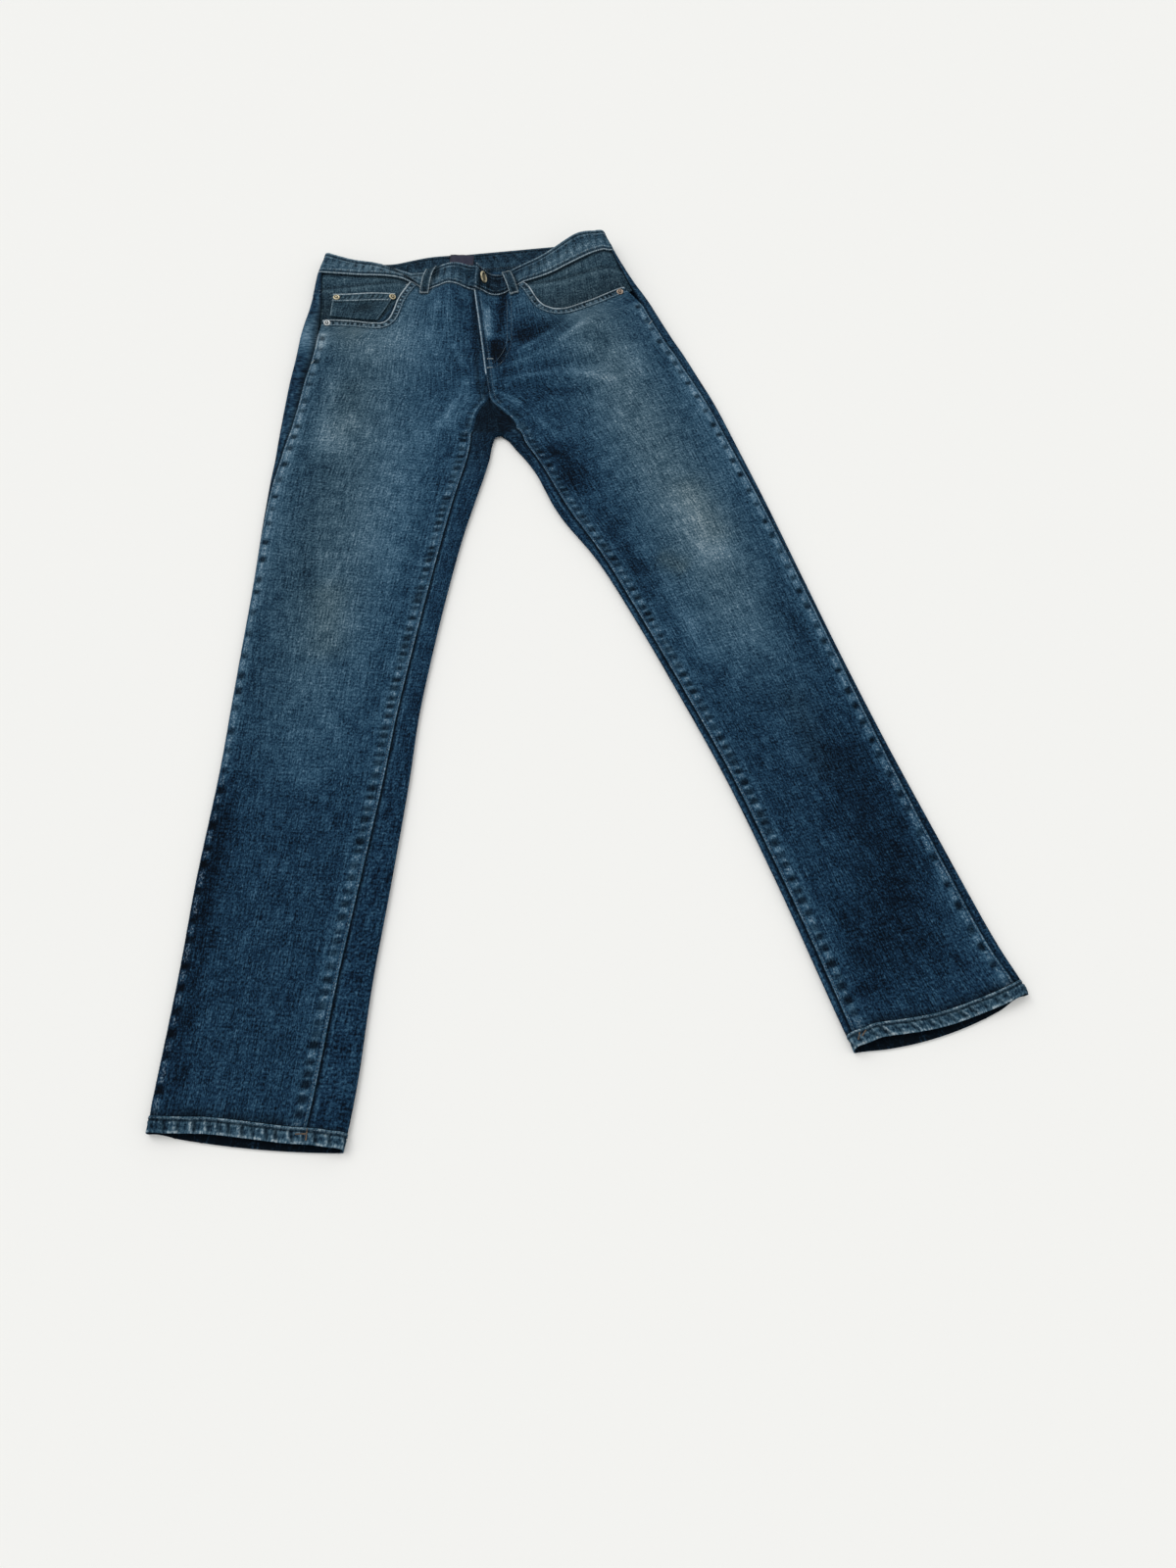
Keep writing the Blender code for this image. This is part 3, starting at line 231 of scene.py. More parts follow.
# The pocket mouth, from the waist seam to the rivet at the outseam.
POCKET = {
    "right": [
        (-284, 1159), (-291, 1142), (-297, 1122), (-300, 1100), (-304, 1084), (-313, 1075),
        (-330, 1074), (-355, 1075), (-390, 1071),
    ],
    "left": [
        (-127, 1172), (-117, 1162), (-108, 1147), (-99, 1134), (-88, 1127), (-76, 1125), (-60, 1129),
        (-38, 1142), (-14, 1156), (14, 1170),
    ],
}

# The largest folds on the front: ridges are high, troughs are low. Those that start above
# FOLDS_FROM_WAIST run out of the top of the band at their full height.
FOLDS_FROM_WAIST = 1150
FOLDS = table(Fold, """
bulge beside the fly: -222 1215 -222 1070 22 9
fly ridge: -194 1215 -168 1000 10 3.5
valley beside the fly: -160 1200 -146 1020 16 -4
valley at the belt loop: -266 1215 -262 1110 11 -4.5
side bulge: -330 1200 -335 1100 28 3.5
raised side: -50 1275 -70 1170 42 5
upper whisker: -140 1020 -10 1120 13 2.6
upper trough: -120 1055 -45 1110 15 -2.4
lower whisker: -140 985 25 1015 13 2.2
lower trough: -125 960 -20 905 15 -2
right hip whisker: -190 990 -300 1030 14 1.6
right thigh trough: -214 860 -200 620 11 -2.2
right side trough: -372 800 -344 120 13 -1.6
right knee: -300 700 -270 560 22 1.6 / -345 640 -290 520 15 -1.3
left thigh trough: -65 860 75 660 16 -2.2
left knee: 100 800 160 620 20 1.8 / 140 760 75 690 14 -1.5
left shin: 275 540 318 250 15 -2.4 / 232 470 285 330 18 1.4
""")

# The front's column at which the waist seam ends and the pocket mouth starts.
POCKET_COLUMN = {"right": 8, "left": 5}

# Where the back of the waist dips toward the hems, on the wearer's right.
BACK_DIP_X = -325.0
BACK_DIP_WIDTH = 45.0
BACK_DIP = 17.0

# How far the front of each hem lies short of its back, across the leg from the outseam side.
HEM_SHORT = {
    "right": [1.0, 4.0, 7.0, 7.5, 7.0, 6.0, 5.5, 3.0],
    "left": [1.0, 3.0, 5.0, 6.0, 7.5, 9.5, 10.0, 4.0],
}
# How far the middle of each hem bows down, and the rows over which the bow and the short front fade.
HEM_BOW = {"right": 3.5, "left": 10.0}
HEM_BOW_ROWS = (1.0, 2.6)


# %% Small helpers
def mix(a, b, t):
    return a + (b - a) * t


def smooth(t):
    t = min(max(t, 0.0), 1.0)
    return t * t * (3.0 - 2.0 * t)


def smooth_value(before, start, end, after, t):
    """A Catmull-Rom value between start (t 0) and end (t 1)."""
    square = 2 * before - 5 * start + 4 * end - after
    cube = 3 * (start - end) + after - before
    return 0.5 * (2 * start + (end - before) * t + square * t**2 + cube * t**3)


def between_rows(rows, t):
    """The row at t, where whole numbers are the table's own rows."""
    index = min(max(int(t), 0), len(rows) - 2)
    columns = zip(*(row[1:] for row in four_near(rows, index)))
    return type(rows[0])(rows[index].name, *(smooth_value(*column, t - index) for column in columns))


def four_near(values, index):
    """The four values round a place between two of them. The ends repeat."""
    return [values[min(max(index + step, 0), len(values) - 1)] for step in (-1, 0, 1, 2)]


def length_of(points):
    return sum(math.dist(a, b) for a, b in zip(points, points[1:]))


def step_lengths(points, axis=0):
    return np.linalg.norm(np.diff(points, axis=axis), axis=-1)


def run_of(steps):
    """Distances from the start of a line, one for each of its points."""
    return np.concatenate([[0.0], np.cumsum(steps)])


def along(points, fraction):
    """The point that lies this fraction of the way along a line of plan points."""
    points = [Vector(point) for point in points]
    lengths = [(b - a).length for a, b in zip(points, points[1:])]
    left = min(max(fraction, 0.0), 1.0) * sum(lengths)
    for index, length in enumerate(lengths):
        if left <= length or index == len(lengths) - 1:
            return smooth_value(*four_near(points, index), left / length)
        left -= length


def outward(edge, t, inside):
    """The unit plan vector out of the folded edge at t, away from the point inside."""
    step = 0.02
    run = edge(t + step) - edge(t - step)
    normal = Vector((run.y, -run.x)).normalized()
    return normal if normal.dot(edge(t) - inside) > 0 else -normal


def edge_lift(distance, reach=EDGE_REACH):
    return 1.0 - smooth(distance / reach)


# %% [markdown]
# A section is one row across a half of the jeans: flat underneath, round at the folded edges, and on top as
# high as the rows say. Creases are pressed in later, so a point also carries how freely it takes them (0 in
# a folded edge) and the height of the layer under it.

# %% A row across a half of the jeans
def spot(plan, height, free, lowest):
    """A point of the cloth before its creases: x, y, z, how freely it creases, its lowest height."""
    return np.array([plan[0], plan[1], height, free, lowest])


class Section:
    """One row across a half, with its folded edges. Distances along it are from the outer edge."""

    def __init__(self, half, t, in_hip):
        self.half = half
        self.hip = in_hip
        rows = HIP[half] if in_hip else LEG[half]
        row = between_rows(rows, t)
        self.t = t
        self.row = row
        self.outer = Vector((row.outer_x, row.outer_y))
        self.rest = row.rest if in_hip else 0.0
        if in_hip:
            self.front = self.centre_front(rows)
            self.back = Vector((row.back_x, row.back_y))
            inside = self.front
        else:
            inside = Vector((row.inner_x, row.inner_y))
        outer_edge = lambda at: Vector(between_rows(rows, at)[1:3])
        self.outer_way = outward(outer_edge, t, inside)
        self.outer_foot = self.outer - self.outer_way * row.fold_out
        # The cloth's length from the folded edge to the foot of its bend.
        self.quarter = math.pi * row.fold_out / 2
        if not in_hip:
            self.inner = inside
            inner_edge = lambda at: Vector(between_rows(rows, at)[3:5])
            self.inner_way = outward(inner_edge, t, self.outer)
            turn = smooth((t - (len(rows) - 1 - TURN_CELLS)) / TURN_CELLS)
            self.inner_way = mix(self.inner_way, Vector((0.0, -1.0)), turn).normalized()
            self.inner_foot = self.inner - self.inner_way * row.fold_in
            self.front = self.back = self.inner_foot

    def centre_front(self, rows):
        """The row's end on the front. The inseam and the centre seam meet in a corner at the fork."""
        below, above = rows[: FORK_ROW + 1], rows[FORK_ROW:]
        row = between_rows(above, self.t - FORK_ROW) if self.t >= FORK_ROW else between_rows(below, self.t)
        return Vector((row.front_x, row.front_y))

    def length(self):
        return (self.front - self.outer_foot).length

    def under_length(self):
        return (self.back - self.outer_foot).length

    def lowest(self):
        """The lowest height of the front's outer face."""
        return self.rest + 2 * WALL + (LAYER_GAP + HIP_SLACK if self.hip else LAYER_GAP)

    def on_top(self, plan):
        """A point of the front's outer face, at a plan point on this row."""
        row = self.row
        from_outer = (plan - self.outer_foot).length
        from_inner = (plan - self.front).length
        outer_top = self.rest + 2 * row.fold_out
        if self.hip:
            reach = mix(EDGE_REACH, WAIST_REACH, smooth((self.t - 3) / 4.0))
            inner_top = row.centre
        else:
            reach = EDGE_REACH
            inner_top = 2 * row.fold_in
        height = row.middle + (outer_top - row.middle) * edge_lift(from_outer, reach)
        height += (inner_top - row.middle) * edge_lift(from_inner)
        free = smooth(from_outer / 16.0) * (1.0 if self.hip else smooth(from_inner / 16.0))
        return spot(plan, height, free, self.lowest())

    def hem_shift(self, plan, layer):
        """How far a point is moved along the leg: the hem bows, and its front lies short of its back."""
        if self.hip:
            return Vector((0.0, 0.0))
        values = HEM_SHORT[self.half]
        across = min(max((plan - self.outer_foot).length / self.length(), 0.0), 0.9999)
        place = across * (len(values) - 1)
        index = int(place)
        short = smooth_value(*four_near(values, index), place - index) * layer
        bow = HEM_BOW[self.half] * 4.0 * across * (1.0 - across)
        first, last = HEM_BOW_ROWS
        kept = 1.0 - smooth((self.t - first) / (last - first))
        up = Vector((-self.outer_way.y, self.outer_way.x))
        return up * (short - bow) * kept * (1.0 if up.y > 0 else -1.0)

    def on_front(self, distance):
        """A point on the top layer, this far from the outer foot."""
        plan = self.outer_foot + (self.front - self.outer_foot).normalized() * distance
        made = self.on_top(plan)
        made[:2] = plan + self.hem_shift(plan, 1.0)
        return made

    def on_outer(self, distance):
        """A point this far round from the outer edge: on the top layer if positive, else underneath."""
        radius = self.row.fold_out
        if distance >= self.quarter:
            return self.on_front(distance - self.quarter)
        if distance <= -self.quarter:
            way = (self.back - self.outer_foot).normalized()
            plan = self.outer_foot + way * (-distance - self.quarter)
            if self.hip:
                away = (plan.x - BACK_DIP_X) / BACK_DIP_WIDTH
                plan.y -= BACK_DIP * math.exp(-away * away) * smooth((self.t - YOKE_ROW) / 0.7)
            return spot(plan + self.hem_shift(plan, 0.0), self.rest, 0.0, self.rest)
        return self.in_fold(self.outer_foot, self.outer_way, radius, distance / radius)

    def in_fold(self, foot, way, radius, angle):
        """A point in a folded edge, at an angle above the level."""
        plan = foot + way * radius * math.cos(angle)
        plan += self.hem_shift(plan, 0.5 + 0.5 * math.sin(angle))
        return spot(plan, self.rest + radius + radius * math.sin(angle), 0.0, self.rest)

    def on_inner(self, distance):
        """The same from the inner edge of a leg."""
        radius = self.row.fold_in
        quarter = math.pi * radius / 2
        if distance >= quarter:
            return self.on_front(self.length() - (distance - quarter))
        angle = max(distance / radius, -math.pi / 2)
        return self.in_fold(self.inner_foot, self.inner_way, radius, angle)

    def outseam(self):
        return round_to_seam(self.row.outseam, self.row.fold_out)

    def inseam(self):
        return round_to_seam(self.row.inseam, self.row.fold_in)


def round_to_seam(inset, radius):
    """The distance round from the edge of a seam that lies this far in, seen from above."""
    if inset >= radius:
        return inset - radius + math.pi * radius / 2
    return radius * math.acos(1.0 - max(inset, 0.0) / radius)


# %% Finding rows
def row_after(rows, fraction, first, last):
    """The row number that lies a fraction of the way, by length, between two row numbers."""
    numbers = [mix(first, last, step / 60) for step in range(61)]
    places = [between_rows(rows, number) for number in numbers]
    steps = [
        math.dist(a[1:3], b[1:3]) + math.dist(a[3:5], b[3:5]) + 1.0 for a, b in zip(places, places[1:])
    ]
    left = fraction * sum(steps)
    for number, following, step in zip(numbers, numbers[1:], steps):
        if left <= step:
            return mix(number, following, left / step)
        left -= step
    return last


@functools.cache
def leg_section(half, row):
    """The leg's section at a row of cells. The last rows turn round the crotch."""
    last = len(LEG[half]) - 1
    turning = row - LEG_CELLS
    if turning > -TURN_CELLS:
        return Section(half, float(last + turning), False)
    straight = LEG_CELLS - TURN_CELLS
    return Section(half, row_after(LEG[half], row / straight, HEM_ROW, last - TURN_CELLS), False)


@functools.cache
def hip_section(half, t):
    return Section(half, t, True)


def hip_row_through(half, plan):
    """The number of the hip row that passes through a plan point."""
    low, high = 0.0, len(HIP[half]) - 1.0
    for _ in range(18):
        middle = 0.5 * (low + high)
        section = hip_section(half, middle)
        run = section.front - section.outer_foot
        past = run.x * (plan[1] - section.outer_foot.y) - run.y * (plan[0] - section.outer_foot.x)
        if past * (1 if run.x > 0 else -1) > 0:
            low = middle
        else:
            high = middle
    return 0.5 * (low + high)


def on_hip(half, plan, drop=0.0, wall=WALL):
    """A point on the hips' top layer, lowered by drop. The wearer's left laps over the right."""
    plan = Vector(plan[:2])
    section = hip_section(half, hip_row_through(half, plan))
    made = section.on_top(plan)
    if half == "left":
        past = (plan - section.front).length
        lap = smooth((section.t - LAP_ROW) / 0.7) * (1.0 - smooth((past - LAP_FULL) / LAP_REACH))
        if lap > 0:
            under = on_hip("right", plan)
            under[[2, 4]] += wall + FLY_CLEAR
            made = mix(made, under, lap)
    made[[2, 4]] -= drop
    return made


# %% [markdown]
# ## The pattern pieces
# Each piece of cloth is a grid of columns and rows on that form, as in the CAD part: the fronts end at the
# pocket mouth, the backs come round the sides, and the fork of the back runs up between the inseams. One
# function a piece says where a column and a row lie.

# %% Front panels
def to_corner(half, line, column):
    """A column's place on a line of the waist, from the fly to the pocket's corner."""
    points = line[half]
    if half == "right":
        if column == 0:
            return Vector(points[0]) + Vector((FLY_UNDERLAP, 0.0))
        return along(points, (column - 1) / (POCKET_COLUMN[half] - 1))
    if column == 0:
        return Vector(points[0])
    start = FLY_UNDERLAP / length_of(points)
    return along(points, mix(start, 1.0, (column - 1) / (POCKET_COLUMN[half] - 1)))


def front_top_edge(half, column):
    """The front panel's upper edge: along the waist seam from the fly, then down the pocket mouth."""
    corner = POCKET_COLUMN[half]
    if column <= corner:
        return to_corner(half, WAIST_SEAM, column)
    return along(POCKET[half], (column - corner) / (FRONT_CELLS - corner))


def across_front(column, whole):
    """How far a column of the front lies from its inner end."""
    from_end = FRONT_CELLS - column
    if from_end < len(CLOSE_COLUMNS):
        return whole - CLOSE_COLUMNS[from_end]
    if column == 0:
        return 0.0
    wide = whole - CLOSE_COLUMNS[-1] - FLY_UNDERLAP
    return FLY_UNDERLAP + wide * (column - 1) / (FRONT_CELLS - len(CLOSE_COLUMNS))


def front_row_point(section, inner, column):
    """A point of the front between its inner end and the outseam."""
    inner_end = section.length() + section.quarter - inner
    outer_end = section.outseam() + SEAM_GAP / 2
    return section.on_outer(inner_end - across_front(column, inner_end - outer_end))


def straight_row(row):
    """The number of the hip row at a row of cells between the crotch and the pocket mouth."""
    return POCKET_ROW * (row - LEG_CELLS) / STRAIGHT_CELLS


def front_point(half, column, row):
    """The front, from the inseam, centre seam and fly, column 0, to the outseam."""
    if row < LEG_CELLS:
        section = leg_section(half, row)
        on_top = section.inseam() + SEAM_GAP / 2 - math.pi * section.row.fold_in / 2
        return front_row_point(section, on_top, column)
    section = hip_section(half, min(straight_row(row), POCKET_ROW))
    under = FLY_UNDERLAP * smooth((section.t - UNDERLAP_ROW) / 0.6) if half == "right" else 0.0
    made = front_row_point(section, SEAM_GAP / 2 - under, column)
    if row <= LEG_CELLS + STRAIGHT_CELLS:
        laps = half == "left" and column < LAP_COLUMNS
        return on_hip(half, made) if laps else made
    edge = front_top_edge(half, column) + Vector((0.0, -SEAM_GAP))
    return on_hip(half, mix(Vector(made[:2]), edge, (row - LEG_CELLS - STRAIGHT_CELLS) / POCKET_CELLS))


# %% Back panels and yokes
def round_the_fold(end, radius, cell):
    """The distance round from a folded edge of a cell's line: cell 0 is underneath, where the cloth
    leaves the surface, and the last lies at end, with more lines in the bend than on the flat."""
    quarter = math.pi * radius / 2
    whole = end + quarter
    bend = min(2 * quarter, whole * BEND_CELLS / FOLD_CELLS)
    if cell <= BEND_CELLS:
        return -quarter + bend * cell / BEND_CELLS
    return -quarter + bend + (whole - bend) * (cell - BEND_CELLS) / (FOLD_CELLS - BEND_CELLS)


def behind_outseam(section, column):
    """A point of the back between the outseam, column 0, and the underside."""
    outer_end = section.outseam() - SEAM_GAP / 2
    return section.on_outer(round_the_fold(outer_end, section.row.fold_out, FOLD_CELLS - column))


def under_point(section, cell):
    """A point underneath, between the outer foot and the inner foot or the centre back seam."""
    whole = section.under_length() - (SEAM_GAP / 2 if section.hip else 0.0)
    return section.on_outer(-section.quarter - whole * cell / UNDER_CELLS)


INNER_START = FOLD_CELLS + UNDER_CELLS
TIP_START = INNER_START + BEND_CELLS


def back_point(half, column, row):
    """The back, from the outseam round the side, underneath, and round the inner leg to the inseam."""
    if column >= TIP_START and row >= LEG_CELLS:
        return fork_point(half, column - TIP_START, row)
    if column > INNER_START and row > LEG_CELLS:
        return None
    if row < LEG_CELLS or row == LEG_CELLS and column >= INNER_START:
        section = leg_section(half, row)
    else:
        above = max(row - LEG_CELLS - STRAIGHT_CELLS, 0) / BACK_TOP_CELLS
        section = hip_section(half, mix(min(straight_row(row), POCKET_ROW), YOKE_ROW - YOKE_GAP, above))
    if column < FOLD_CELLS:
        return behind_outseam(section, column)
    if column < INNER_START or section.hip:
        return under_point(section, column - FOLD_CELLS)
    inner_end = section.inseam() - SEAM_GAP / 2
    return section.on_inner(round_the_fold(inner_end, section.row.fold_in, column - INNER_START))


def fork_point(half, column, row):
    """The back's fork, which shows between the inseams: it narrows to the end of the centre seam."""
    if row > LEG_CELLS + FORK_CELLS:
        return None
    front_end = hip_section(half, straight_row(row))
    part = front_end.t / FORK_ROW
    inseam = front_end.front + (front_end.front - front_end.outer_foot).normalized() * SEAM_GAP / 2
    crotch = leg_section(half, LEG_CELLS)
    centre = mix(crotch.inner_foot, Vector(FORK_TIP), part)
    centre.x += SEAM_GAP / 2 * part * (1 if half == "left" else -1)
    across = column / (FOLD_CELLS - BEND_CELLS)
    seam_height = front_end.on_top(front_end.front)[2]
    centre_height = mix(2 * crotch.row.fold_in, FORK_LOW, smooth(2.5 * part))
    height = mix(centre_height, seam_height, smooth(across))
    return spot(mix(centre, inseam, across), height, across * smooth(part * 3), front_end.lowest())


def yoke_point(half, column, row):
    """The back's upper part, from the outseam round the side to the centre back seam."""
    section = hip_section(half, mix(YOKE_ROW, WAIST_ROW - WAIST_GAP, row / YOKE_CELLS))
    if column < FOLD_CELLS:
        return behind_outseam(section, column)
    return under_point(section, (column - FOLD_CELLS) * UNDER_CELLS / BAND_UNDER_CELLS)


# %% Waistband and hems
def band_line(half, column, section, to_pocket, to_side):
    """A plan point along the band's front: a column's place on its seam or on its top."""
    corner = POCKET_COLUMN[half]
    if column <= corner:
        return to_corner(half, to_pocket, column)
    line = to_side[half][:-1] + [tuple(section.outer_foot)]
    return along(line, (column - corner) / (BAND_FRONT_CELLS - corner))


def band_point(half, column, row):
    """Half of the band: from its end at the fly, round the side, to the centre back underneath."""
    low, high = hip_section(half, WAIST_ROW), hip_section(half, WAIST_ROW + 1.0)
    part = row / BAND_CELLS
    if column >= BAND_FRONT_CELLS:
        return mix(band_behind(low, column), band_behind(high, column), part)
    corner = POCKET_COLUMN[half]
    plan = mix(band_line(half, column, low, WAIST_SEAM, SIDE_SEAM),
               band_line(half, column, high, WAIST_TOP, SIDE_TOP), part)
    made = on_hip(half, plan, wall=BAND_WALL)
    made[4] = max(made[4], BAND_LOWEST)
    to_side = smooth((column - corner) / (BAND_FRONT_CELLS - corner) * 3.0 - 2.0)
    side = mix(band_behind(low, BAND_FRONT_CELLS), band_behind(high, BAND_FRONT_CELLS), part)
    made[2:] = mix(made[2:], side[2:], to_side)
    return made


def band_behind(section, column):
    """A point of the band round its folded side and underneath."""
    cell = column - BAND_FRONT_CELLS
    if cell <= BEND_CELLS:
        return section.on_outer(section.quarter - 2 * section.quarter * cell / BEND_CELLS)
    whole = section.under_length() - SEAM_GAP / 2
    return section.on_outer(-section.quarter - whole * (cell - BEND_CELLS) / BAND_UNDER_CELLS)


def hem_point(half, column, row):
    """The turned-up hem: a closed ring of double cloth round the end of the leg."""
    section = Section(half, HEM_END * row / HEM_CELLS, False)
    quarter = section.quarter
    cell = column - HEM_FRONT_CELLS
    under_cell = cell - BEND_CELLS
    # 1 on the front, -1 underneath, and between them round a bend.
    turn = 1.0
    if cell <= 0:
        made = section.on_front(section.length() * column / HEM_FRONT_CELLS)
    elif under_cell <= 0:
        turn = 1.0 - 2.0 * cell / BEND_CELLS
        made = section.on_inner(quarter * turn)
    elif under_cell <= HEM_UNDER_CELLS:
        turn = -1.0
        made = section.on_outer(-quarter - section.length() * (1.0 - under_cell / HEM_UNDER_CELLS))
    else:
        turn = -1.0 + 2.0 * (under_cell - HEM_UNDER_CELLS) / BEND_CELLS
        made = section.on_outer(quarter * turn)
    made[2] += HEM_LIFT * (0.5 + 0.5 * turn)
    return made


# %% Pocket facings and the coin pocket
def facing_point(half, column, row):
    """The cloth that shows in the pocket mouth. Its lower edge runs on behind the front."""
    inner_way = 1.0 if half == "right" else -1.0
    waist = hip_section(half, WAIST_ROW)
    corner = POCKET_COLUMN[half]
    cells = BAND_FRONT_CELLS - corner
    across = column / cells
    top = band_line(half, corner + column, waist, WAIST_SEAM, SIDE_SEAM) + Vector((0.0, -SEAM_GAP))
    mouth = along(POCKET[half], mix(0.0, 0.985, across ** 0.75))
    if column == 0:
        behind_front = 1.0 - FACING_BEHIND / length_of(WAIST_SEAM[half])
        top = along(WAIST_SEAM[half], behind_front) - Vector((0.0, SEAM_GAP))
    behind = 1.0 - smooth(3.0 * across - 1.4)
    low = Vector((mouth.x + inner_way * FACING_BEHIND * behind, mouth.y - FACING_BEHIND * (1.2 - behind)))
    low.y = min(low.y, top.y - 6.0)
    if column == cells:
        low, top = (beside_outseam(half, plan) for plan in (low, top))
    return on_hip(half, mix(low, top, row / FACING_ROWS), FACING_DROP)


def beside_outseam(half, plan):
    """The plan point on the same row that lies a seam's gap inside the outseam."""
    section = hip_section(half, min(hip_row_through(half, plan), WAIST_ROW - FACING_SHORT))
    return Vector(section.on_outer(section.outseam() + SEAM_GAP)[:2])


def coin_point(half, column, row):
    """The small pocket on the right facing, under its two rivets."""
    across = column / COIN_CELLS
    top = mix(Vector(COIN_TOP_INNER), Vector(COIN_TOP_OUTER), across)
    low = Vector((mix(COIN_LOW_INNER, COIN_TOP_OUTER[0] + 3.0, across), COIN_LOW))
    return on_hip(half, mix(low, top, row / COIN_ROWS), FACING_DROP - WALL - COIN_RISE)


# %% [markdown]
# ## From a coarse grid to fine cloth
# The grid's lines are a few centimetres apart. A subdivision surface would round off the corners of the
# pieces and open gaps at the seams. A spline through the lines, first across and then along, keeps the
# corners, and lets the fine lines stand close along the seams, where there is detail.

# %% The spline through a grid
def spline(points, knots, at, corners=()):
    """Values at the places `at` of the smooth line through points, which stand at knots. It may bend
    sharply at the knots named as corners."""
    spans = np.diff(knots)[:, None]
    secants = np.diff(points, axis=0) / spans
    slopes = np.empty_like(points)
    before, after = spans[:-1], spans[1:]
    slopes[1:-1] = (secants[:-1] * after + secants[1:] * before) / (before + after)
    slopes[0], slopes[-1] = secants[0], secants[-1]
    leaving, arriving = slopes.copy(), slopes.copy()
    for corner in corners:
        leaving[corner], arriving[corner] = secants[corner], secants[corner - 1]
    index = np.clip(np.searchsorted(knots, at, side="right") - 1, 0, len(knots) - 2)
    span = spans[index]
    t = (at - knots[index])[:, None] / span
    start, end = points[index], points[index + 1]
    return (
        start * (1 + 2 * t) * (1 - t) ** 2 + leaving[index] * span * t * (1 - t) ** 2
        + end * t**2 * (3 - 2 * t) - arriving[index + 1] * span * t**2 * (1 - t)
    )


def through(points, mean_knots, at, corners):
    """The spline through one line of the grid, which keeps the pace of that line's own lengths."""
    own = run_of(step_lengths(points[:, :3]) + 1e-3)
    return spline(points, own, np.interp(at, mean_knots, own), corners)


def through_grid(coarse, u_knots, u, v_knots, v, corner_columns=(), corner_rows=()):
    wide = np.stack([through(line, u_knots, u, corner_columns) for line in coarse])
    lines = [through(line, v_knots, v, corner_rows) for line in wide.transpose(1, 0, 2)]
    return np.stack(lines, axis=1)


def spaced(length, middle, edge, reach):
    """Places from 0 to length, with cells of size edge at both ends that grow to middle over reach."""
    places = np.linspace(0.0, length, 600)
    nearest = np.minimum(places, length - places)
    size = edge + (middle - edge) * np.clip(nearest / reach, 0.0, 1.0)
    count = run_of(np.diff(places) / (0.5 * (size[1:] + size[:-1])))
    cells = max(int(round(count[-1])), 2)
    return np.interp(np.linspace(0.0, count[-1], cells + 1), count, places)


def knots_of(grid):
    """Mean distances along the first direction of a grid."""
    return run_of(step_lengths(grid[..., :3]).mean(axis=1))


# Points of the fine grid, the distance of each line across and along, the faces left out, and the
# distances at which the coarse columns and rows stand.
Fine = namedtuple("Fine", "points across along missing column_at row_at", defaults=(None, None, None))


def fine_grid(half, place, columns, rows, across, along_it, corner_columns=(), corner_rows=()):
    """The fine grid of a piece. across and along_it are the sizes of the cells in the middle and at
    the edges, and the reach between them, in millimetres."""
    coarse = np.array(
        [[place(half, column, row) for column in range(columns + 1)] for row in range(rows + 1)]
    )
    u_knots = knots_of(coarse.transpose(1, 0, 2))
    v_knots = knots_of(coarse)
    u, v = spaced(u_knots[-1], *across), spaced(v_knots[-1], *along_it)
    points = through_grid(coarse, u_knots, u, v_knots, v, corner_columns, corner_rows)
    return Fine(points, u, v, None, u_knots, v_knots)


# %% [markdown]
# The back is one piece of cloth, but above the crotch its grid has only the seat underneath and the narrow
# fork between the inseams. The spline needs a full grid, so the hole is filled by running the last rows on,
# and its faces are left out afterwards.

# %% The back's grid, with its hole
def fine_back(half, across, along_it):
    columns, rows = INNER_START + FOLD_CELLS, LEG_CELLS + STRAIGHT_CELLS + BACK_TOP_CELLS
    coarse = np.zeros((rows + 1, columns + 1, 5))
    exists = np.zeros((rows + 1, columns + 1), bool)
    for row in range(rows + 1):
        for column in range(columns + 1):
            made = back_point(half, column, row)
            if made is not None:
                coarse[row, column], exists[row, column] = made, True
    for column in range(columns + 1):
        last = np.flatnonzero(exists[:, column])[-1]
        step = coarse[last, column] - coarse[last - 1, column]
        for row in range(last + 1, rows + 1):
            coarse[row, column] = coarse[last, column] + step * (row - last)
    u_knots = knots_of(coarse[:LEG_CELLS].transpose(1, 0, 2))
    v_knots = knots_of(coarse[:, : INNER_START + 1])
    u, v = spaced(u_knots[-1], *across), spaced(v_knots[-1], *along_it)
    u = np.sort(np.concatenate([u, u_knots[[INNER_START, TIP_START]]]))
    v = np.sort(np.concatenate([v, v_knots[[LEG_CELLS, LEG_CELLS + FORK_CELLS]]]))
    legs = through_grid(coarse, u_knots, u, v_knots, v, (), [LEG_CELLS])
    hips = through_grid(coarse, u_knots, u, v_knots, v, [INNER_START, TIP_START], [LEG_CELLS])
    share = np.clip((v - v_knots[LEG_CELLS]) / (v_knots[LEG_CELLS + 1] - v_knots[LEG_CELLS]), 0, 1)
    points = mix(legs, hips, share[:, None, None])
    u_mid, v_mid = 0.5 * (u[1:] + u[:-1]), 0.5 * (v[1:] + v[:-1])
    above = v_mid[:, None] > v_knots[LEG_CELLS]
    past_fork = v_mid[:, None] > v_knots[LEG_CELLS + FORK_CELLS]
    in_fork = u_mid[None] > u_knots[TIP_START]
    missing = above & (u_mid[None] > u_knots[INNER_START]) & ~(in_fork & ~past_fork)
    return Fine(points, u, v, missing, u_knots, v_knots)
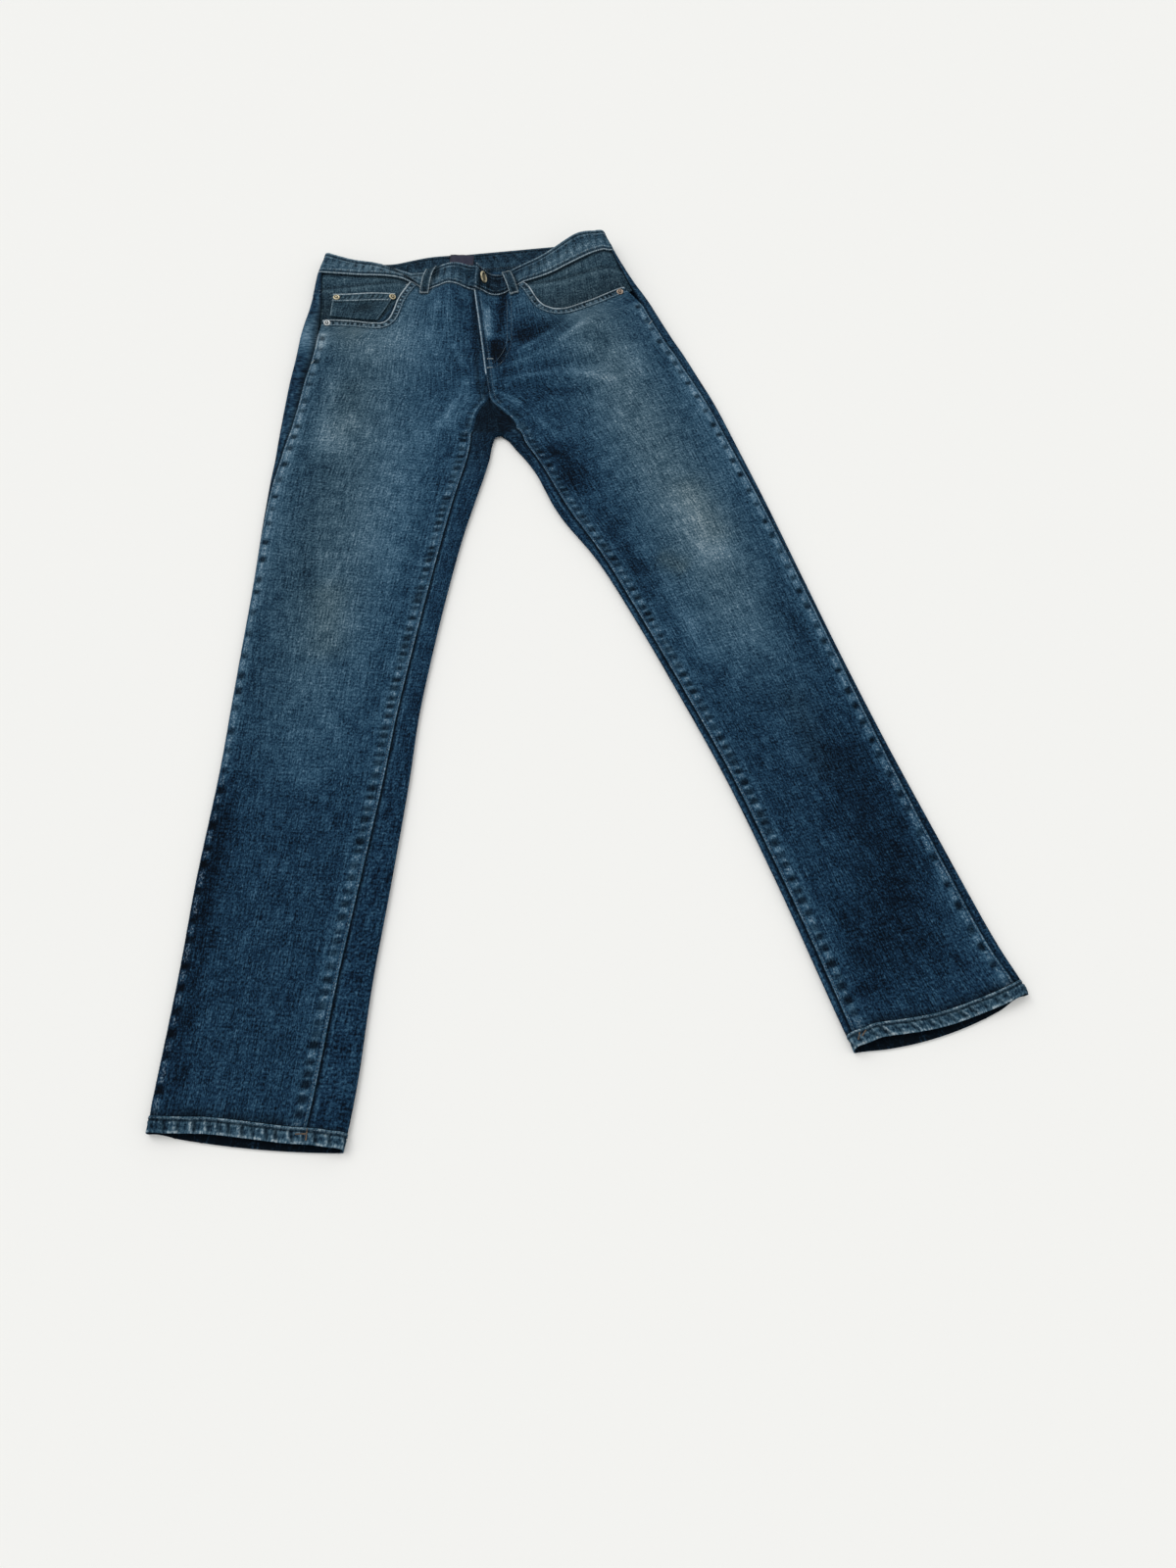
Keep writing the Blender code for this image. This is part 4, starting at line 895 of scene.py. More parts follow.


# %% [markdown]
# ## Creases
# The large folds come with the form. The smaller ones are placed one by one, after the photograph: whiskers
# from the crotch, long drags down the legs, dents at the knees. A cloth simulation would settle them at
# random, and not where this pair has them.

# %% Small creases, placed one by one
CREASES = table(Fold, """
whisker from the fork: -140 1004 -22 1110 5 1.3
whisker at the hip: -138 982 12 1008 5 1.2
whisker to the thigh: -146 952 -48 888 4 1.2
short whisker: -128 1026 -70 1090 4 0.9
trough over the hip whisker: -118 1004 -8 1030 7 -1.1
trough under the hip whisker: -112 966 10 985 8 -0.9
trough by the left inseam: -98 900 -36 826 9 -1.4
left thigh: -52 930 40 780 8 0.9 / 10 935 92 752 9 0.8 / -12 900 62 770 8 -0.9
left knee: 22 716 74 690 8 -1.4 / 40 738 120 706 8 1 / 116 640 176 612 9 -1.2
left knee lower ridge: 104 664 190 640 9 0.9
below the left knee: 128 600 196 560 10 -0.9
left calf drag: 200 520 262 356 8 -0.8
left shin drag: 268 468 332 300 7 0.9
left side trough: 300 420 350 300 7 -0.9
above the left hem: 255 214 292 222 5 -1.3
left hem swell: 300 222 352 250 12 0.8
left outer thigh: 112 905 150 842 6 -0.8 / 150 830 190 740 6 -0.7
right groin: -176 985 -228 850 6 0.9 / -186 960 -232 838 6 -1
right hip: -240 1140 -244 1035 5 1.3 / -226 1140 -222 1050 4 1
valley between the streaks: -233 1135 -234 1050 4 -0.9
beside the fly: -206 1140 -190 1040 7 -1.8
right hip: -196 1012 -286 1046 6 1 / -204 996 -300 1018 7 -0.8
right thigh: -262 905 -276 660 8 0.9 / -322 880 -336 650 9 -1
right side drag: -352 1010 -372 820 8 -0.9
right knee: -338 664 -314 612 8 -1.4 / -316 676 -288 628 8 0.9 / -292 556 -262 536 8 -1.2
right knee lower ridge: -300 528 -252 512 8 0.8
below the right knee: -306 462 -276 452 7 -0.8
right calf drag: -238 520 -232 330 8 -0.7
right shin: -300 400 -292 190 9 0.6 / -268 360 -262 160 9 -0.6
above the right hem: -330 98 -268 92 6 -0.8
""")


def smooth_array(t):
    t = np.clip(t, 0.0, 1.0)
    return t * t * (3.0 - 2.0 * t)


def height_of(folds, x, y):
    """What the folds of a table add at plan points."""
    total = np.zeros_like(x)
    for fold in folds:
        run = np.array([fold.to_x - fold.from_x, fold.to_y - fold.from_y])
        here_x, here_y = x - fold.from_x, y - fold.from_y
        part = np.clip((here_x * run[0] + here_y * run[1]) / (run @ run), 0.0, 1.0)
        away = np.hypot(here_x - run[0] * part, here_y - run[1] * part) / fold.width
        if fold.from_y > FOLDS_FROM_WAIST:
            fade = smooth_array(2.5 * (1.0 - part))
        else:
            fade = smooth_array(4 * part) * smooth_array(4 * (1.0 - part))
        total += fold.height * fade * np.exp(-away * away)
    return total


def soft_floor(height, lowest):
    """The height, held above the lowest without a crease."""
    over = height - lowest
    return lowest + 0.5 * (over + np.sqrt(over * over + 0.6))


def creased(fine):
    """The places of a fine grid, in millimetres, with the folds and creases pressed in."""
    x, y, z, free, lowest = np.moveaxis(fine.points, -1, 0)
    pressed = soft_floor(z + height_of(FOLDS, x, y) + height_of(CREASES, x, y), lowest)
    free = np.clip(free, 0.0, 1.0)
    return np.stack([x, y, np.maximum(z + free * (pressed - z), 0.0)], axis=-1)


# %% [markdown]
# ## Shells
# A sheet of cloth becomes a closed shell: the outer face, the same face a wall's thickness inside, and a
# rim. Solidify could do it, but here the grid is known, so each inner point follows its own normal, and the
# numbers of each point's finish are kept as attributes.

# %% Making a closed shell from a grid
SHARP_ANGLE = math.radians(60)
LABEL_PLACE = (-219.5, 1219.5)
label_low, label_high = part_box("inner_label")
label_middle = (label_low + label_high) / (2 * MM)
# The CAD part was moved to stand centred on the origin, so the plan moves as its label did.
SHIFT = np.array([label_middle.x - LABEL_PLACE[0], label_middle.y - LABEL_PLACE[1], 0.0])


def normals_of(points, flip=False, closed=False):
    """Unit normals of a grid. closed means that the grid's first column follows its last."""
    if closed:
        around = np.concatenate([points[:, -1:], points, points[:, :1]], axis=1)
        across = around[:, 2:] - around[:, :-2]
    else:
        across = np.gradient(points, axis=1)
    normals = np.cross(across, np.gradient(points, axis=0))
    normals /= np.maximum(np.linalg.norm(normals, axis=-1, keepdims=True), 1e-9)
    return -normals if flip else normals


def in_scene(name, data):
    """A new object with this data, in the scene."""
    thing = bpy.data.objects.new(name, data)
    bpy.context.scene.collection.objects.link(thing)
    return thing


def mesh_of(name, points, faces, values=None, uv=None):
    """A mesh piece from places in plan millimetres. values are numbers kept for each point."""
    mesh = bpy.data.meshes.new(name)
    mesh.from_pydata(((np.asarray(points) + SHIFT) * MM).tolist(), [], faces)
    for key, numbers in (values or {}).items():
        kept = mesh.attributes.new(key, "FLOAT", "POINT")
        kept.data.foreach_set("value", np.asarray(numbers, np.float32))
    if uv is not None:
        layer = mesh.uv_layers.new(name="cloth")
        loops = np.empty(len(mesh.loops), np.int32)
        mesh.loops.foreach_get("vertex_index", loops)
        layer.data.foreach_set("uv", (np.asarray(uv, np.float32)[loops] * MM).ravel())
    mesh.shade_smooth()
    mesh.set_sharp_from_angle(angle=SHARP_ANGLE)
    return in_scene(name, mesh)


def shell(name, points, wall, fine, values, flip=False, closed=False):
    """A closed shell under a grid of places. values are numbers for each point of the grid."""
    rows, columns = points.shape[:2]
    if closed:
        points, columns = points[:, :-1], columns - 1
        values = {key: numbers[:, :-1] for key, numbers in values.items()}
    inner = points - normals_of(points, flip, closed) * wall
    inner[..., 2] = np.maximum(inner[..., 2], 0.05)
    count = rows * columns
    index = np.arange(count).reshape(rows, columns)
    right = np.roll(index, -1, axis=1)
    kept = np.ones((rows - 1, columns), bool)
    if fine.missing is not None:
        kept[:, :-1] = ~fine.missing
    if not closed:
        kept[:, -1] = False
    quads = np.stack([index[:-1], right[:-1], right[1:], index[1:]], axis=-1)[kept]
    if flip:
        quads = quads[:, ::-1]
    edges = np.concatenate([quads[:, [0, 1]], quads[:, [1, 2]], quads[:, [2, 3]], quads[:, [3, 0]]])
    _, first, times = np.unique(np.sort(edges, axis=1), axis=0, return_index=True, return_counts=True)
    rim = edges[first[times == 1]]
    sides = np.stack([rim[:, 1], rim[:, 0], rim[:, 0] + count, rim[:, 1] + count], axis=-1)
    faces = np.concatenate([quads, quads[:, ::-1] + count, sides])
    used = np.unique(faces)
    renumber = np.zeros(2 * count, np.int64)
    renumber[used] = np.arange(len(used))
    both = np.concatenate([points.reshape(-1, 3), inner.reshape(-1, 3)])[used]
    u = np.broadcast_to(fine.across[None, :columns], (rows, columns))
    v = np.broadcast_to(fine.along[:, None], (rows, columns))
    uv = np.stack([u, v], axis=-1).reshape(-1, 2)
    doubled = {key: np.concatenate([grid.ravel()] * 2)[used] for key, grid in values.items()}
    doubled["inside"] = np.repeat([0.0, 1.0], count)[used]
    piece = mesh_of(name, both, renumber[faces].tolist(), doubled, np.concatenate([uv, uv])[used])
    print(f"{name}: {2 * len(faces)} triangles")
    return piece


# %% [markdown]
# ## Wear, wash and painted shade
# Washed denim is pale where it stood proud in the wash, and keeps its dye where it was folded away. Shade
# is painted into the colour as well. Each point carries four numbers: fade (dye gone over a wide patch, and
# painted shade in valleys and hollows), wear (bare pale edges), dye (dark grooves and dents, with
# dye kept there and painted shade) and tint (patches that turned grey-green). They are placed with tables
# like the creases', so the colour follows the form.

# %% Patches of the wash, and of painted shade
# Pale patches are fades of the wash: whiskers, thighs and knees. Many of the dark patches are painted
# shade: in crease valleys, at the knee dents, between the whiskers, beside the fly, in the groin and under
# the left pocket.
FADES_AND_SHADE = table(Fold, """
right thigh and knee: -304 1230 -282 330 78 0.24
right knee: -296 660 -282 360 56 0.1
right hip: -520 1056 -180 1036 44 0.13 / -424 1062 -384 1010 22 0.26
right thigh: -322 915 -346 830 26 0.17 / -262 930 -278 620 16 0.07
right outer thigh: -394 980 -370 560 15 0.13
right inner thigh pale: -222 965 -244 630 24 0.12
right outer side: -362 1010 -352 815 12 0.16 / -368 440 -352 20 17 -0.3
right knee: -338 668 -318 610 8 -0.13 / -320 694 -294 640 8 0.07 / -290 560 -264 532 9 -0.12
right calf pale: -318 432 -262 398 12 0.07
right hip: -240 1144 -244 1030 4 0.14 / -225 1144 -221 1040 4 0.12
dark beside the fly: -194 1150 -176 1000 5 -0.18
right groin pale: -182 1000 -196 880 14 0.18
left thigh: -78 1190 246 470 70 0.31
left lower thigh pale: 92 830 156 690 26 0.16
left knee: 116 590 210 640 42 0.13
left hip: 20 1080 50 1000 20 0.12 / -40 1086 6 1066 12 -0.2
left knee inner pale: 96 640 130 560 16 0.12
left outer knee dark: 196 700 262 560 10 -0.1
left shin pale: 200 500 252 420 14 0.1
left outer thigh: 74 1070 178 800 18 0.1
left groin shade: -76 886 -14 796 22 -0.2
left inner shade: -6 796 76 640 15 -0.09
left knee: 30 712 76 690 8 -0.1 / 84 600 240 640 13 -0.05
left shin dark: 240 520 345 290 44 -0.15
left outseam shade: 206 884 306 560 9 -0.16
left inner knee pale: 74 700 122 590 9 0.1
left ankle dark: 250 250 360 300 46 -0.15
left hem crease: 254 214 296 232 8 -0.14
whisker from the fork: -142 1002 -78 1050 4 0.2
its upper half: -78 1050 -24 1116 5 0.2
whisker at the hip: -142 982 -62 1006 4 0.2
its outer half: -62 1006 22 998 5 0.2
whisker to the thigh: -150 966 -104 940 3 0.26
its lower half: -104 940 -50 880 4 0.2
short whisker: -128 1028 -70 1092 5 0.2
high whisker: -108 1058 -44 1122 4 0.14
right whisker: -186 986 -214 1060 3 0.2
right low whisker: -190 952 -216 880 3 0.22
between the whiskers: -110 1010 0 1040 9 -0.12
under the whiskers: -110 962 10 984 10 -0.12
under the left pocket: -46 1108 -140 1058 19 -0.32
fly valley: -152 1172 -150 1060 6 -0.26
fly base: -152 1066 -148 1004 12 -0.42
fly patch: -173 1126 -161 1044 5 0.48
""")
# Hollows in shade: painted shade, which every piece adds to its dye.
SHADES = table(Fold, """
behind the rolled fly end: -180 1202 -176 1160 5 0.75
under the fly end: -176 1158 -150 1150 4 0.6
below the button: -168 1172 -158 1192 5 0.45
beside the right loop: -249 1204 -247 1158 3 0.8
beside the left loop: -133 1158 -146 1196 3 0.7
where the right band folds: -324 1188 -294 1171 2.5 0.9
the end of that fold: -294 1171 -268 1152 3 1
band crease: -336 1192 -300 1182 3 0.5
right bulge crease: -238 1206 -214 1178 3 0.4
second bulge crease: -226 1212 -204 1196 3 0.35
left band crease: -120 1196 -92 1216 3 0.35
under the pocket end: -96 1150 -120 1136 4 0.5
fly base hollow: -153 1052 -150 1020 7 0.5
beside the centre seam: -160 985 -158 940 3 0.7
in the fork: -160 940 -140 905 9 0.85
""")
TINTS = table(Fold, """
right thigh: -338 1230 -306 330 66 0.42 / -338 980 -326 850 24 0.1
right knee green: -306 660 -286 530 24 0.26
right hip: -420 1080 -320 1060 40 0.24
left thigh: -66 1200 236 470 58 0.44
left lower thigh green: 96 850 156 726 24 0.24
left knee green: 66 716 112 694 14 0.36
left calf: 214 560 262 420 18 0.18
""")


# %% [markdown]
# A seam that shrinks more than the cloth beside it puckers it: dents a few millimetres long, one every ten
# to twenty-five millimetres, and no two alike.

# %% Puckers and edges
def puckers(along_it, gap, length, seed, unevenness=0.28):
    """Dents of 0 to 1 along a seam, one for about every gap millimetres, uneven in place and size."""
    random = np.random.default_rng(seed)
    count = int(along_it.max() / gap) + 2
    places = np.cumsum(gap * random.uniform(1 - unevenness, 1 + unevenness, count))
    total = np.zeros_like(along_it)
    for place in places:
        size = 0.5 * length * random.uniform(0.75, 1.25)
        deep = random.uniform(0.5, 1.0)
        total = np.maximum(total, deep * np.exp(-(((along_it - place) / size) ** 4)))
    return total


def bell(distance, middle, width):
    return np.exp(-(((distance - middle) / width) ** 2))


Edges = namedtuple("Edges", "start end low high")


def edges_of(points):
    """Distances of each point from the first and last column, and from the lowest and highest row."""
    across = step_lengths(points, 1)
    start = np.concatenate([np.zeros((len(points), 1)), np.cumsum(across, axis=1)], axis=1)
    up = step_lengths(points)
    low = np.concatenate([np.zeros((1, points.shape[1])), np.cumsum(up, axis=0)])
    return Edges(start, start[:, -1:] - start, low, low[-1:] - low)


class Finish:
    """The relief, the wash and the painted shade of one piece, gathered one mark after another."""

    def __init__(self, points, base_fade, base_tint=0.0, patches=1.0):
        """patches is how much of the wash's patches, with the shade painted among them, this piece shows.
        """
        x, y = points[..., 0], points[..., 1]
        self.relief = np.zeros_like(x)
        # The patches add painted shade to fade as well as the fades of the wash.
        self.fade = base_fade + patches * height_of(FADES_AND_SHADE, x, y)
        self.tint = base_tint + patches * height_of(TINTS, x, y)
        self.wear = np.zeros_like(x)
        # Painted shade from the hollows of SHADES.
        self.dye = np.clip(height_of(SHADES, x, y), 0.0, 1.0)

    def mark(self, where, relief=0.0, wear=0.0, dye=0.0):
        self.relief += relief * where
        self.wear = np.maximum(self.wear, wear * where)
        self.dye = np.maximum(self.dye, dye * where)

    def lines(self, distance, rows, where=1.0):
        """Marks along an edge, in rows of (distance from the edge, width, relief, wear, dye)."""
        for middle, width, *amounts in rows:
            self.mark(where * bell(distance, middle, width), *amounts)

    def values(self):
        return {key: np.clip(getattr(self, key), 0, 1) for key in ("fade", "tint", "wear", "dye")}


def seam_side(finish, mask, distance, along_it, gap, length, seed, depth=1.0, reach=9.5):
    """The cloth beside a seam: a rolled pale edge, then puckers with paler swells between them. The
    seam's groove and the dents are darkened with painted shade.
    """
    dents = puckers(along_it, gap, length, seed)
    beside = mask * np.exp(-(((distance - reach) / (reach * 0.52)) ** 4))
    finish.lines(distance, [(1.5, 1.0, 0.35, 0.50), (0.0, 0.7, 0, 0, 0.9)], mask)
    finish.mark(beside * dents, relief=-1.3 * depth, dye=0.90)
    finish.mark(beside * (1 - dents), relief=0.40 * depth, wear=0.40)
    finish.lines(distance, [(1.9 * reach, 2.0, 0.3, 0.16)], mask)


# %% [markdown]
# The fronts carry most of what shows: the puckered inseam, the pocket mouth with its folded edge, the
# fly's rolled edge and the felled outseam.

# %% Finishing the fronts
# The row of cells at which the fork ends and the fly starts, and the fly's lower end.
FORK_END_ROW = LEG_CELLS + 4.2
FLY_LOW_Y = 984.0


def finish_front(half, fine, points):
    edges = edges_of(points)
    finish = Finish(points, 0.30, 0.08)
    left = half == "left"
    seed = 20 if left else 10
    v = fine.along[:, None]
    crotch, fork = np.interp((LEG_CELLS, FORK_END_ROW), np.arange(len(fine.row_at)), fine.row_at)
    leg = smooth_array((crotch + 8 - v) / 16)
    seam_side(finish, leg, edges.start, edges.low, 12.0, 7.5, seed + 1)
    below_pocket = smooth_array((fine.row_at[-POCKET_CELLS] + 10 - v) / 20)
    seam_side(finish, below_pocket, edges.end, edges.low, 23.0, 8.0, seed + 2, 0.8, 7.0)
    centre = smooth_array((v - fork) / 8)
    at_fork = (v > crotch - 10) * (1 - centre)
    # Painted shade at the fork, in the seam's groove and in its puckers.
    finish.lines(edges.start, [(0.0, 1.6, -0.5, 0, 0.95), (3.0 if left else 6.0, 1.6, 0.8, 0.42)], at_fork)
    finish.lines(edges.start, [(9.0, 5.0, 0, 0, 0.7)], at_fork * puckers(edges.low, 12.0, 7.5, 15))
    # Painted shade along the centre seam and beside the fly's rolled edge; the fly's pale edge is wear.
    if left:
        along_fly = smooth_array((points[..., 1] - FLY_LOW_Y) / 8)
        finish.lines(edges.start, [(0.8, 1.3, 0.6, 0.78)], along_fly)
        finish.lines(edges.start, [(0.0, 1.4, -0.3, 0, 0.8)], centre * (1 - along_fly))
        finish.lines(edges.start, [(4.6, 1.6, -0.4, 0, 0.60), (9.0, 2.2, 0.3, 0.25)], centre)
    else:
        finish.lines(edges.start, [(10.5, 3.0, 0, 0, 0.6)], centre)
    in_mouth = fine.across[None] > fine.column_at[POCKET_COLUMN[half]]
    mouth = in_mouth * smooth_array((v - fine.row_at[-POCKET_CELLS - 1]) / 10)
    # The pocket mouth's folded edge is worn pale, with painted shade in the groove behind it and in its
    # dents.
    fold = [(1.4, 2.0, 1.0, 0.80), (4.8, 1.2, -0.40, 0, 0.50), (8.6, 1.6, -0.25, 0.35)]
    finish.lines(edges.high, fold, mouth)
    dents = puckers(edges.start, 6.5, 3.2, seed + 51)
    finish.lines(edges.high, [(5.0, 2.6, -0.35, 0, 0.55)], mouth * dents)
    # Painted shadow under the band, and along the front's lower edge over the hem.
    waist = (1 - in_mouth) * smooth_array((v - fine.row_at[-3]) / 10)
    finish.lines(edges.high, [(0.0, 4.0, -0.4, 0, 0.7)], waist)
    uneven = 0.5 + 0.5 * puckers(edges.start, 34.0, 26.0, seed + 61)
    finish.lines(edges.low, [(0.0, 6.0, -0.6, 0, 0.85)], uneven)
    return finish


# %% [markdown]
# The backs come round the edges as plain strips, darker than the fronts, with a groove of painted shade
# along each seam and painted shade in the fork between the inseams.

# %% Finishing the backs and yokes
def finish_back(half, fine, points):
    edges = edges_of(points)
    finish = Finish(points, 0.27, 0.05)
    above_crotch = fine.along[:, None] - fine.row_at[LEG_CELLS]
    fork_side = smooth_array((70 - edges.end) / 15)
    # Painted shade in the grooves along the seams and at the lower edge, and in the fork between the
    # inseams.
    finish.lines(edges.start, [(0.0, 1.6, -0.25, 0, 0.85)])
    leg = smooth_array((4 - above_crotch) / 8)
    finish.lines(edges.end, [(0.0, 1.9, -0.30, 0, 1.0), (4.4, 0.9, 0, 0.22)], leg)
    finish.mark(smooth_array((above_crotch + 26) / 30) * fork_side, dye=0.80)
    finish.mark(smooth_array((above_crotch + 110) / 90) * fork_side, dye=0.42)
    finish.lines(edges.low, [(0.0, 2.5, -0.2, 0, 0.6)])
    return finish


def finish_yoke(half, fine, points):
    edges = edges_of(points)
    finish = Finish(points, 0.30, 0.1, 0.4)
    # Painted shade in the groove at the outseam.
    finish.lines(edges.start, [(0.0, 1.5, -0.2, 0, 0.8)])
    finish.lines(edges.low, [(0.5, 1.2, 0.2, 0.4)])
    return finish


# %% [markdown]
# The waistband is double cloth, stitched near both edges, and its top edge has lost most of its dye. Its
# grooves and puckers carry painted shade.

# %% Finishing the waistband, facings, hems and coin pocket
# Painted shade: the band is darker round the button, where it lies in a deep fold beside the fly's rolled
# end.
BAND_SHADE_X = -168.0
BAND_SHADE_WIDTH = 46.0


def finish_band(half, fine, points):
    edges = edges_of(points)
    finish = Finish(points, 0.42, 0.42, 0.20)
    # Painted shade round the button.
    finish.fade -= 0.30 * bell(points[..., 0], BAND_SHADE_X, BAND_SHADE_WIDTH)
    seed = 31 if half == "right" else 41
    lower = puckers(edges.start, 9.0, 4.0, seed)
    upper = puckers(edges.start + 4.0, 12.0, 5.0, seed + 1)
    # Painted shade in the grooves and puckers beside the stitch rows; the pale edges are wear.
    top_rows = [(0.0, 2.2, 0.3, 0.55), (5.0, 1.4, -0.5, 0, 0.75), (7.6, 1.4, 0.2, 0.40)]
    finish.lines(edges.high, top_rows)
    finish.lines(edges.high, [(11.0, 3.4, -0.7, 0, 0.85)], upper)
    low_rows = [(0.4, 1.2, 0.1, 0.75), (3.4, 1.1, -0.5, 0, 0.80), (7.6, 1.2, 0.25, 0.50)]
    finish.lines(edges.low, low_rows)
    finish.lines(edges.low, [(6.0, 2.4, -0.6, 0, 0.75)], lower)
    finish.lines(edges.low, [(16.0, 7.0, 0.3, 0.30)], 1 - upper)
    finish.lines(edges.low, [(22.0, 4.0, -0.4, 0, 0.5)], upper)
    # The rolled end at the fly is worn pale, with painted shade beside it.
    if half == "left":
        finish.lines(edges.start, [(2.0, 2.6, 2.6, 0.45), (8.0, 3.0, -0.4, 0, 0.8)])
    return finish


def finish_facing(half, fine, points):
    edges = edges_of(points)
    finish = Finish(points, 0.40, 0.6, 0.15)
    from_top = points[..., 1].max(axis=0, keepdims=True) - points[..., 1]
    # The facing darkens toward its lower edge, near the pocket mouth. The grooves at its top and beside its
    # ridge carry painted shade.
    finish.mark(smooth_array((from_top - 16) / 60) * 0.6, dye=0.8)
    finish.lines(edges.high, [(0.0, 3.5, 0, 0, 0.85), (8.0, 3.0, 0.3, 0.10)])
    slope = edges.high - 0.22 * edges.start
    finish.lines(slope, [(9.0, 3.0, 0.7, 0.18), (2.0, 2.6, -0.5, 0, 0.45)])
    return finish


def finish_coin(half, fine, points):
    edges = edges_of(points)
    finish = Finish(points, 0.34, 0.6, 0.2)
    # Painted shade in the dents under the pocket's top and in its grooves; its pale edges are wear.
    dents = puckers(edges.start, 6.5, 3.4, 61)
    finish.lines(edges.high, [(6.5, 4.0, -0.5, 0, 0.85)], dents)
    finish.lines(edges.high, [(6.5, 4.0, 0, 0.25)], 1 - dents)
    finish.lines(edges.high, [(0.6, 1.4, 0.3, 0.85), (12.5, 1.1, 0.2, 0.7), (15.2, 1.2, -0.3, 0, 0.6)])
    finish.lines(edges.high, [(26.0, 9.0, -0.8, 0, 0.6)], bell(edges.start, 30.0, 14.0))
    finish.lines(edges.end, [(1.0, 1.2, 0.2, 0.5)])
    finish.lines(edges.start, [(1.0, 1.2, 0.2, 0.3)])
    return finish


def finish_hem(half, fine, points):
    """The hem's ridges slant, because the turned cloth creeps round as it is sewn. The dips between the
    ridges and the groove under the stitching carry painted shade.
    """
    edges = edges_of(points)
    finish = Finish(points, 0.38, 0.45)
    slant, seed = (-0.8, 81) if half == "left" else (0.2, 71)
    slanted = edges.start + slant * edges.low
    ridges = puckers(slanted, 11.5, 3.0, seed, 0.34)
    beside_them = puckers(slanted - 3.0, 11.5, 3.6, seed, 0.34)
    rubbed = 0.45 + 0.55 * puckers(edges.start, 17.0, 11.0, seed + 5)
    middle = np.exp(-(((edges.low - 6.0) / 5.6) ** 4))
    finish.mark(middle * beside_them, relief=-0.9, dye=0.75)
    finish.mark(middle * ridges, relief=1.1, wear=0.60)
    finish.lines(edges.high, [(0.6, 1.3, 0.3, 0.60)], rubbed)
    finish.lines(edges.high, [(3.2, 0.9, -0.5, 0, 0.85)])
    finish.lines(edges.high, [(5.0, 1.0, 0.3, 0.30)], 1 - beside_them)
    finish.lines(edges.low, [(1.0, 1.8, 0.4, 0.68)], rubbed)
    return finish


# %% Building the cloth
# The walls that show are a little thinner than the CAD's, so that layers stay clear of each other.
WALL_SHOWN = 1.1
BAND_WALL_SHOWN = 2.2
HEM_WALL_SHOWN = 2.0
CLOTH = {}
GRIDS = {}
Grid = namedtuple("Grid", "points normals edges fine")


def add_sheet(node, name, points, fine, finish, wall, flip=False, closed=False):
    """Presses a finish into a grid and makes it a shell. The grid is kept for the sewing."""
    normals = normals_of(points, flip)
    points = points + normals * finish.relief[..., None]
    points[..., 2] = np.maximum(points[..., 2], 0.0)
    GRIDS[node] = Grid(points, normals, edges_of(points), fine)
    return shell(name, points, wall, fine, finish.values(), flip, closed)


def add_cloth(node, fine, finishing, wall=WALL_SHOWN, closed=False):
    points = creased(fine)
    half = "left" if node.endswith("left") else "right"
    # The columns of a hem's ring run the other way round.
    flip = (half == "right") != closed
    finish = finishing(half, fine, points)
    CLOTH[node] = add_sheet(node, f"{node}_cloth", points, fine, finish, wall, flip, closed)


for half in ("right", "left"):
    corner = POCKET_COLUMN[half]
    front = fine_grid(half, front_point, FRONT_CELLS, LEG_CELLS + HIP_CELLS,
                      (4.6, 1.1, 30.0), (2.2, 1.6, 40.0), [corner])
    add_cloth(f"front_{half}", front, finish_front)
    back = fine_back(half, (9.0, 1.4, 60.0), (3.4, 2.4, 30.0))
    add_cloth(f"back_{half}", back, finish_back)
    yoke = fine_grid(half, yoke_point, FOLD_CELLS + BAND_UNDER_CELLS, YOKE_CELLS,
                     (8.0, 1.0, 60.0), (3.0, 2.0, 10.0))
    add_cloth(f"yoke_{half}", yoke, finish_yoke)
    band = fine_grid(half, band_point, BAND_FRONT_CELLS + BEND_CELLS + BAND_UNDER_CELLS, BAND_CELLS,
                     (1.7, 1.7, 10.0), (1.3, 0.9, 8.0), [corner])
    add_cloth(f"waistband_{half}", band, finish_band, BAND_WALL_SHOWN)
    facing = fine_grid(half, facing_point, BAND_FRONT_CELLS - corner, FACING_ROWS,
                       (2.2, 2.2, 10.0), (2.2, 2.2, 10.0))
    add_cloth(f"pocket_facing_{half}", facing, finish_facing)
    hem = fine_grid(half, hem_point, HEM_FRONT_CELLS + HEM_UNDER_CELLS + 2 * BEND_CELLS, HEM_CELLS,
                    (1.4, 1.4, 10.0), (1.0, 0.8, 6.0))
    add_cloth(f"hem_{half}", hem, finish_hem, HEM_WALL_SHOWN, True)
coin = fine_grid("right", coin_point, COIN_CELLS, COIN_ROWS, (1.3, 1.3, 10.0), (1.3, 1.0, 10.0))
add_cloth("coin_pocket", coin, finish_coin)


# %% [markdown]
# ## Materials
# Each material is a small net of nodes. One function adds a node, sets it and links it, so a net reads from
# top to bottom. Colours are given as a web page has them, and one function turns them to the renderer's
# linear values.

# %% Colours and nodes
def colour(code):
    """Linear RGBA from an sRGB hex value such as "#3d576b"."""
    parts = [int(code[place : place + 2], 16) / 255 for place in (1, 3, 5)]
    return [part / 12.92 if part <= 0.04045 else ((part + 0.055) / 1.055) ** 2.4 for part in parts] + [1.0]


def feed(tree, socket, value):
    """Gives a socket its value, or links it from another socket."""
    if isinstance(value, bpy.types.NodeSocket):
        tree.links.new(value, socket)
    else:
        socket.default_value = value


def add_node(tree, kind, settings=None, **inputs):
    """A node of a kind, with its settings, and its inputs as values or as sockets to link from."""
    node = tree.nodes.new(kind)
    for key, value in (settings or {}).items():
        setattr(node, key, value)
    for key, value in inputs.items():
        feed(tree, node.inputs[key.replace("_", " ")], value)
    return node


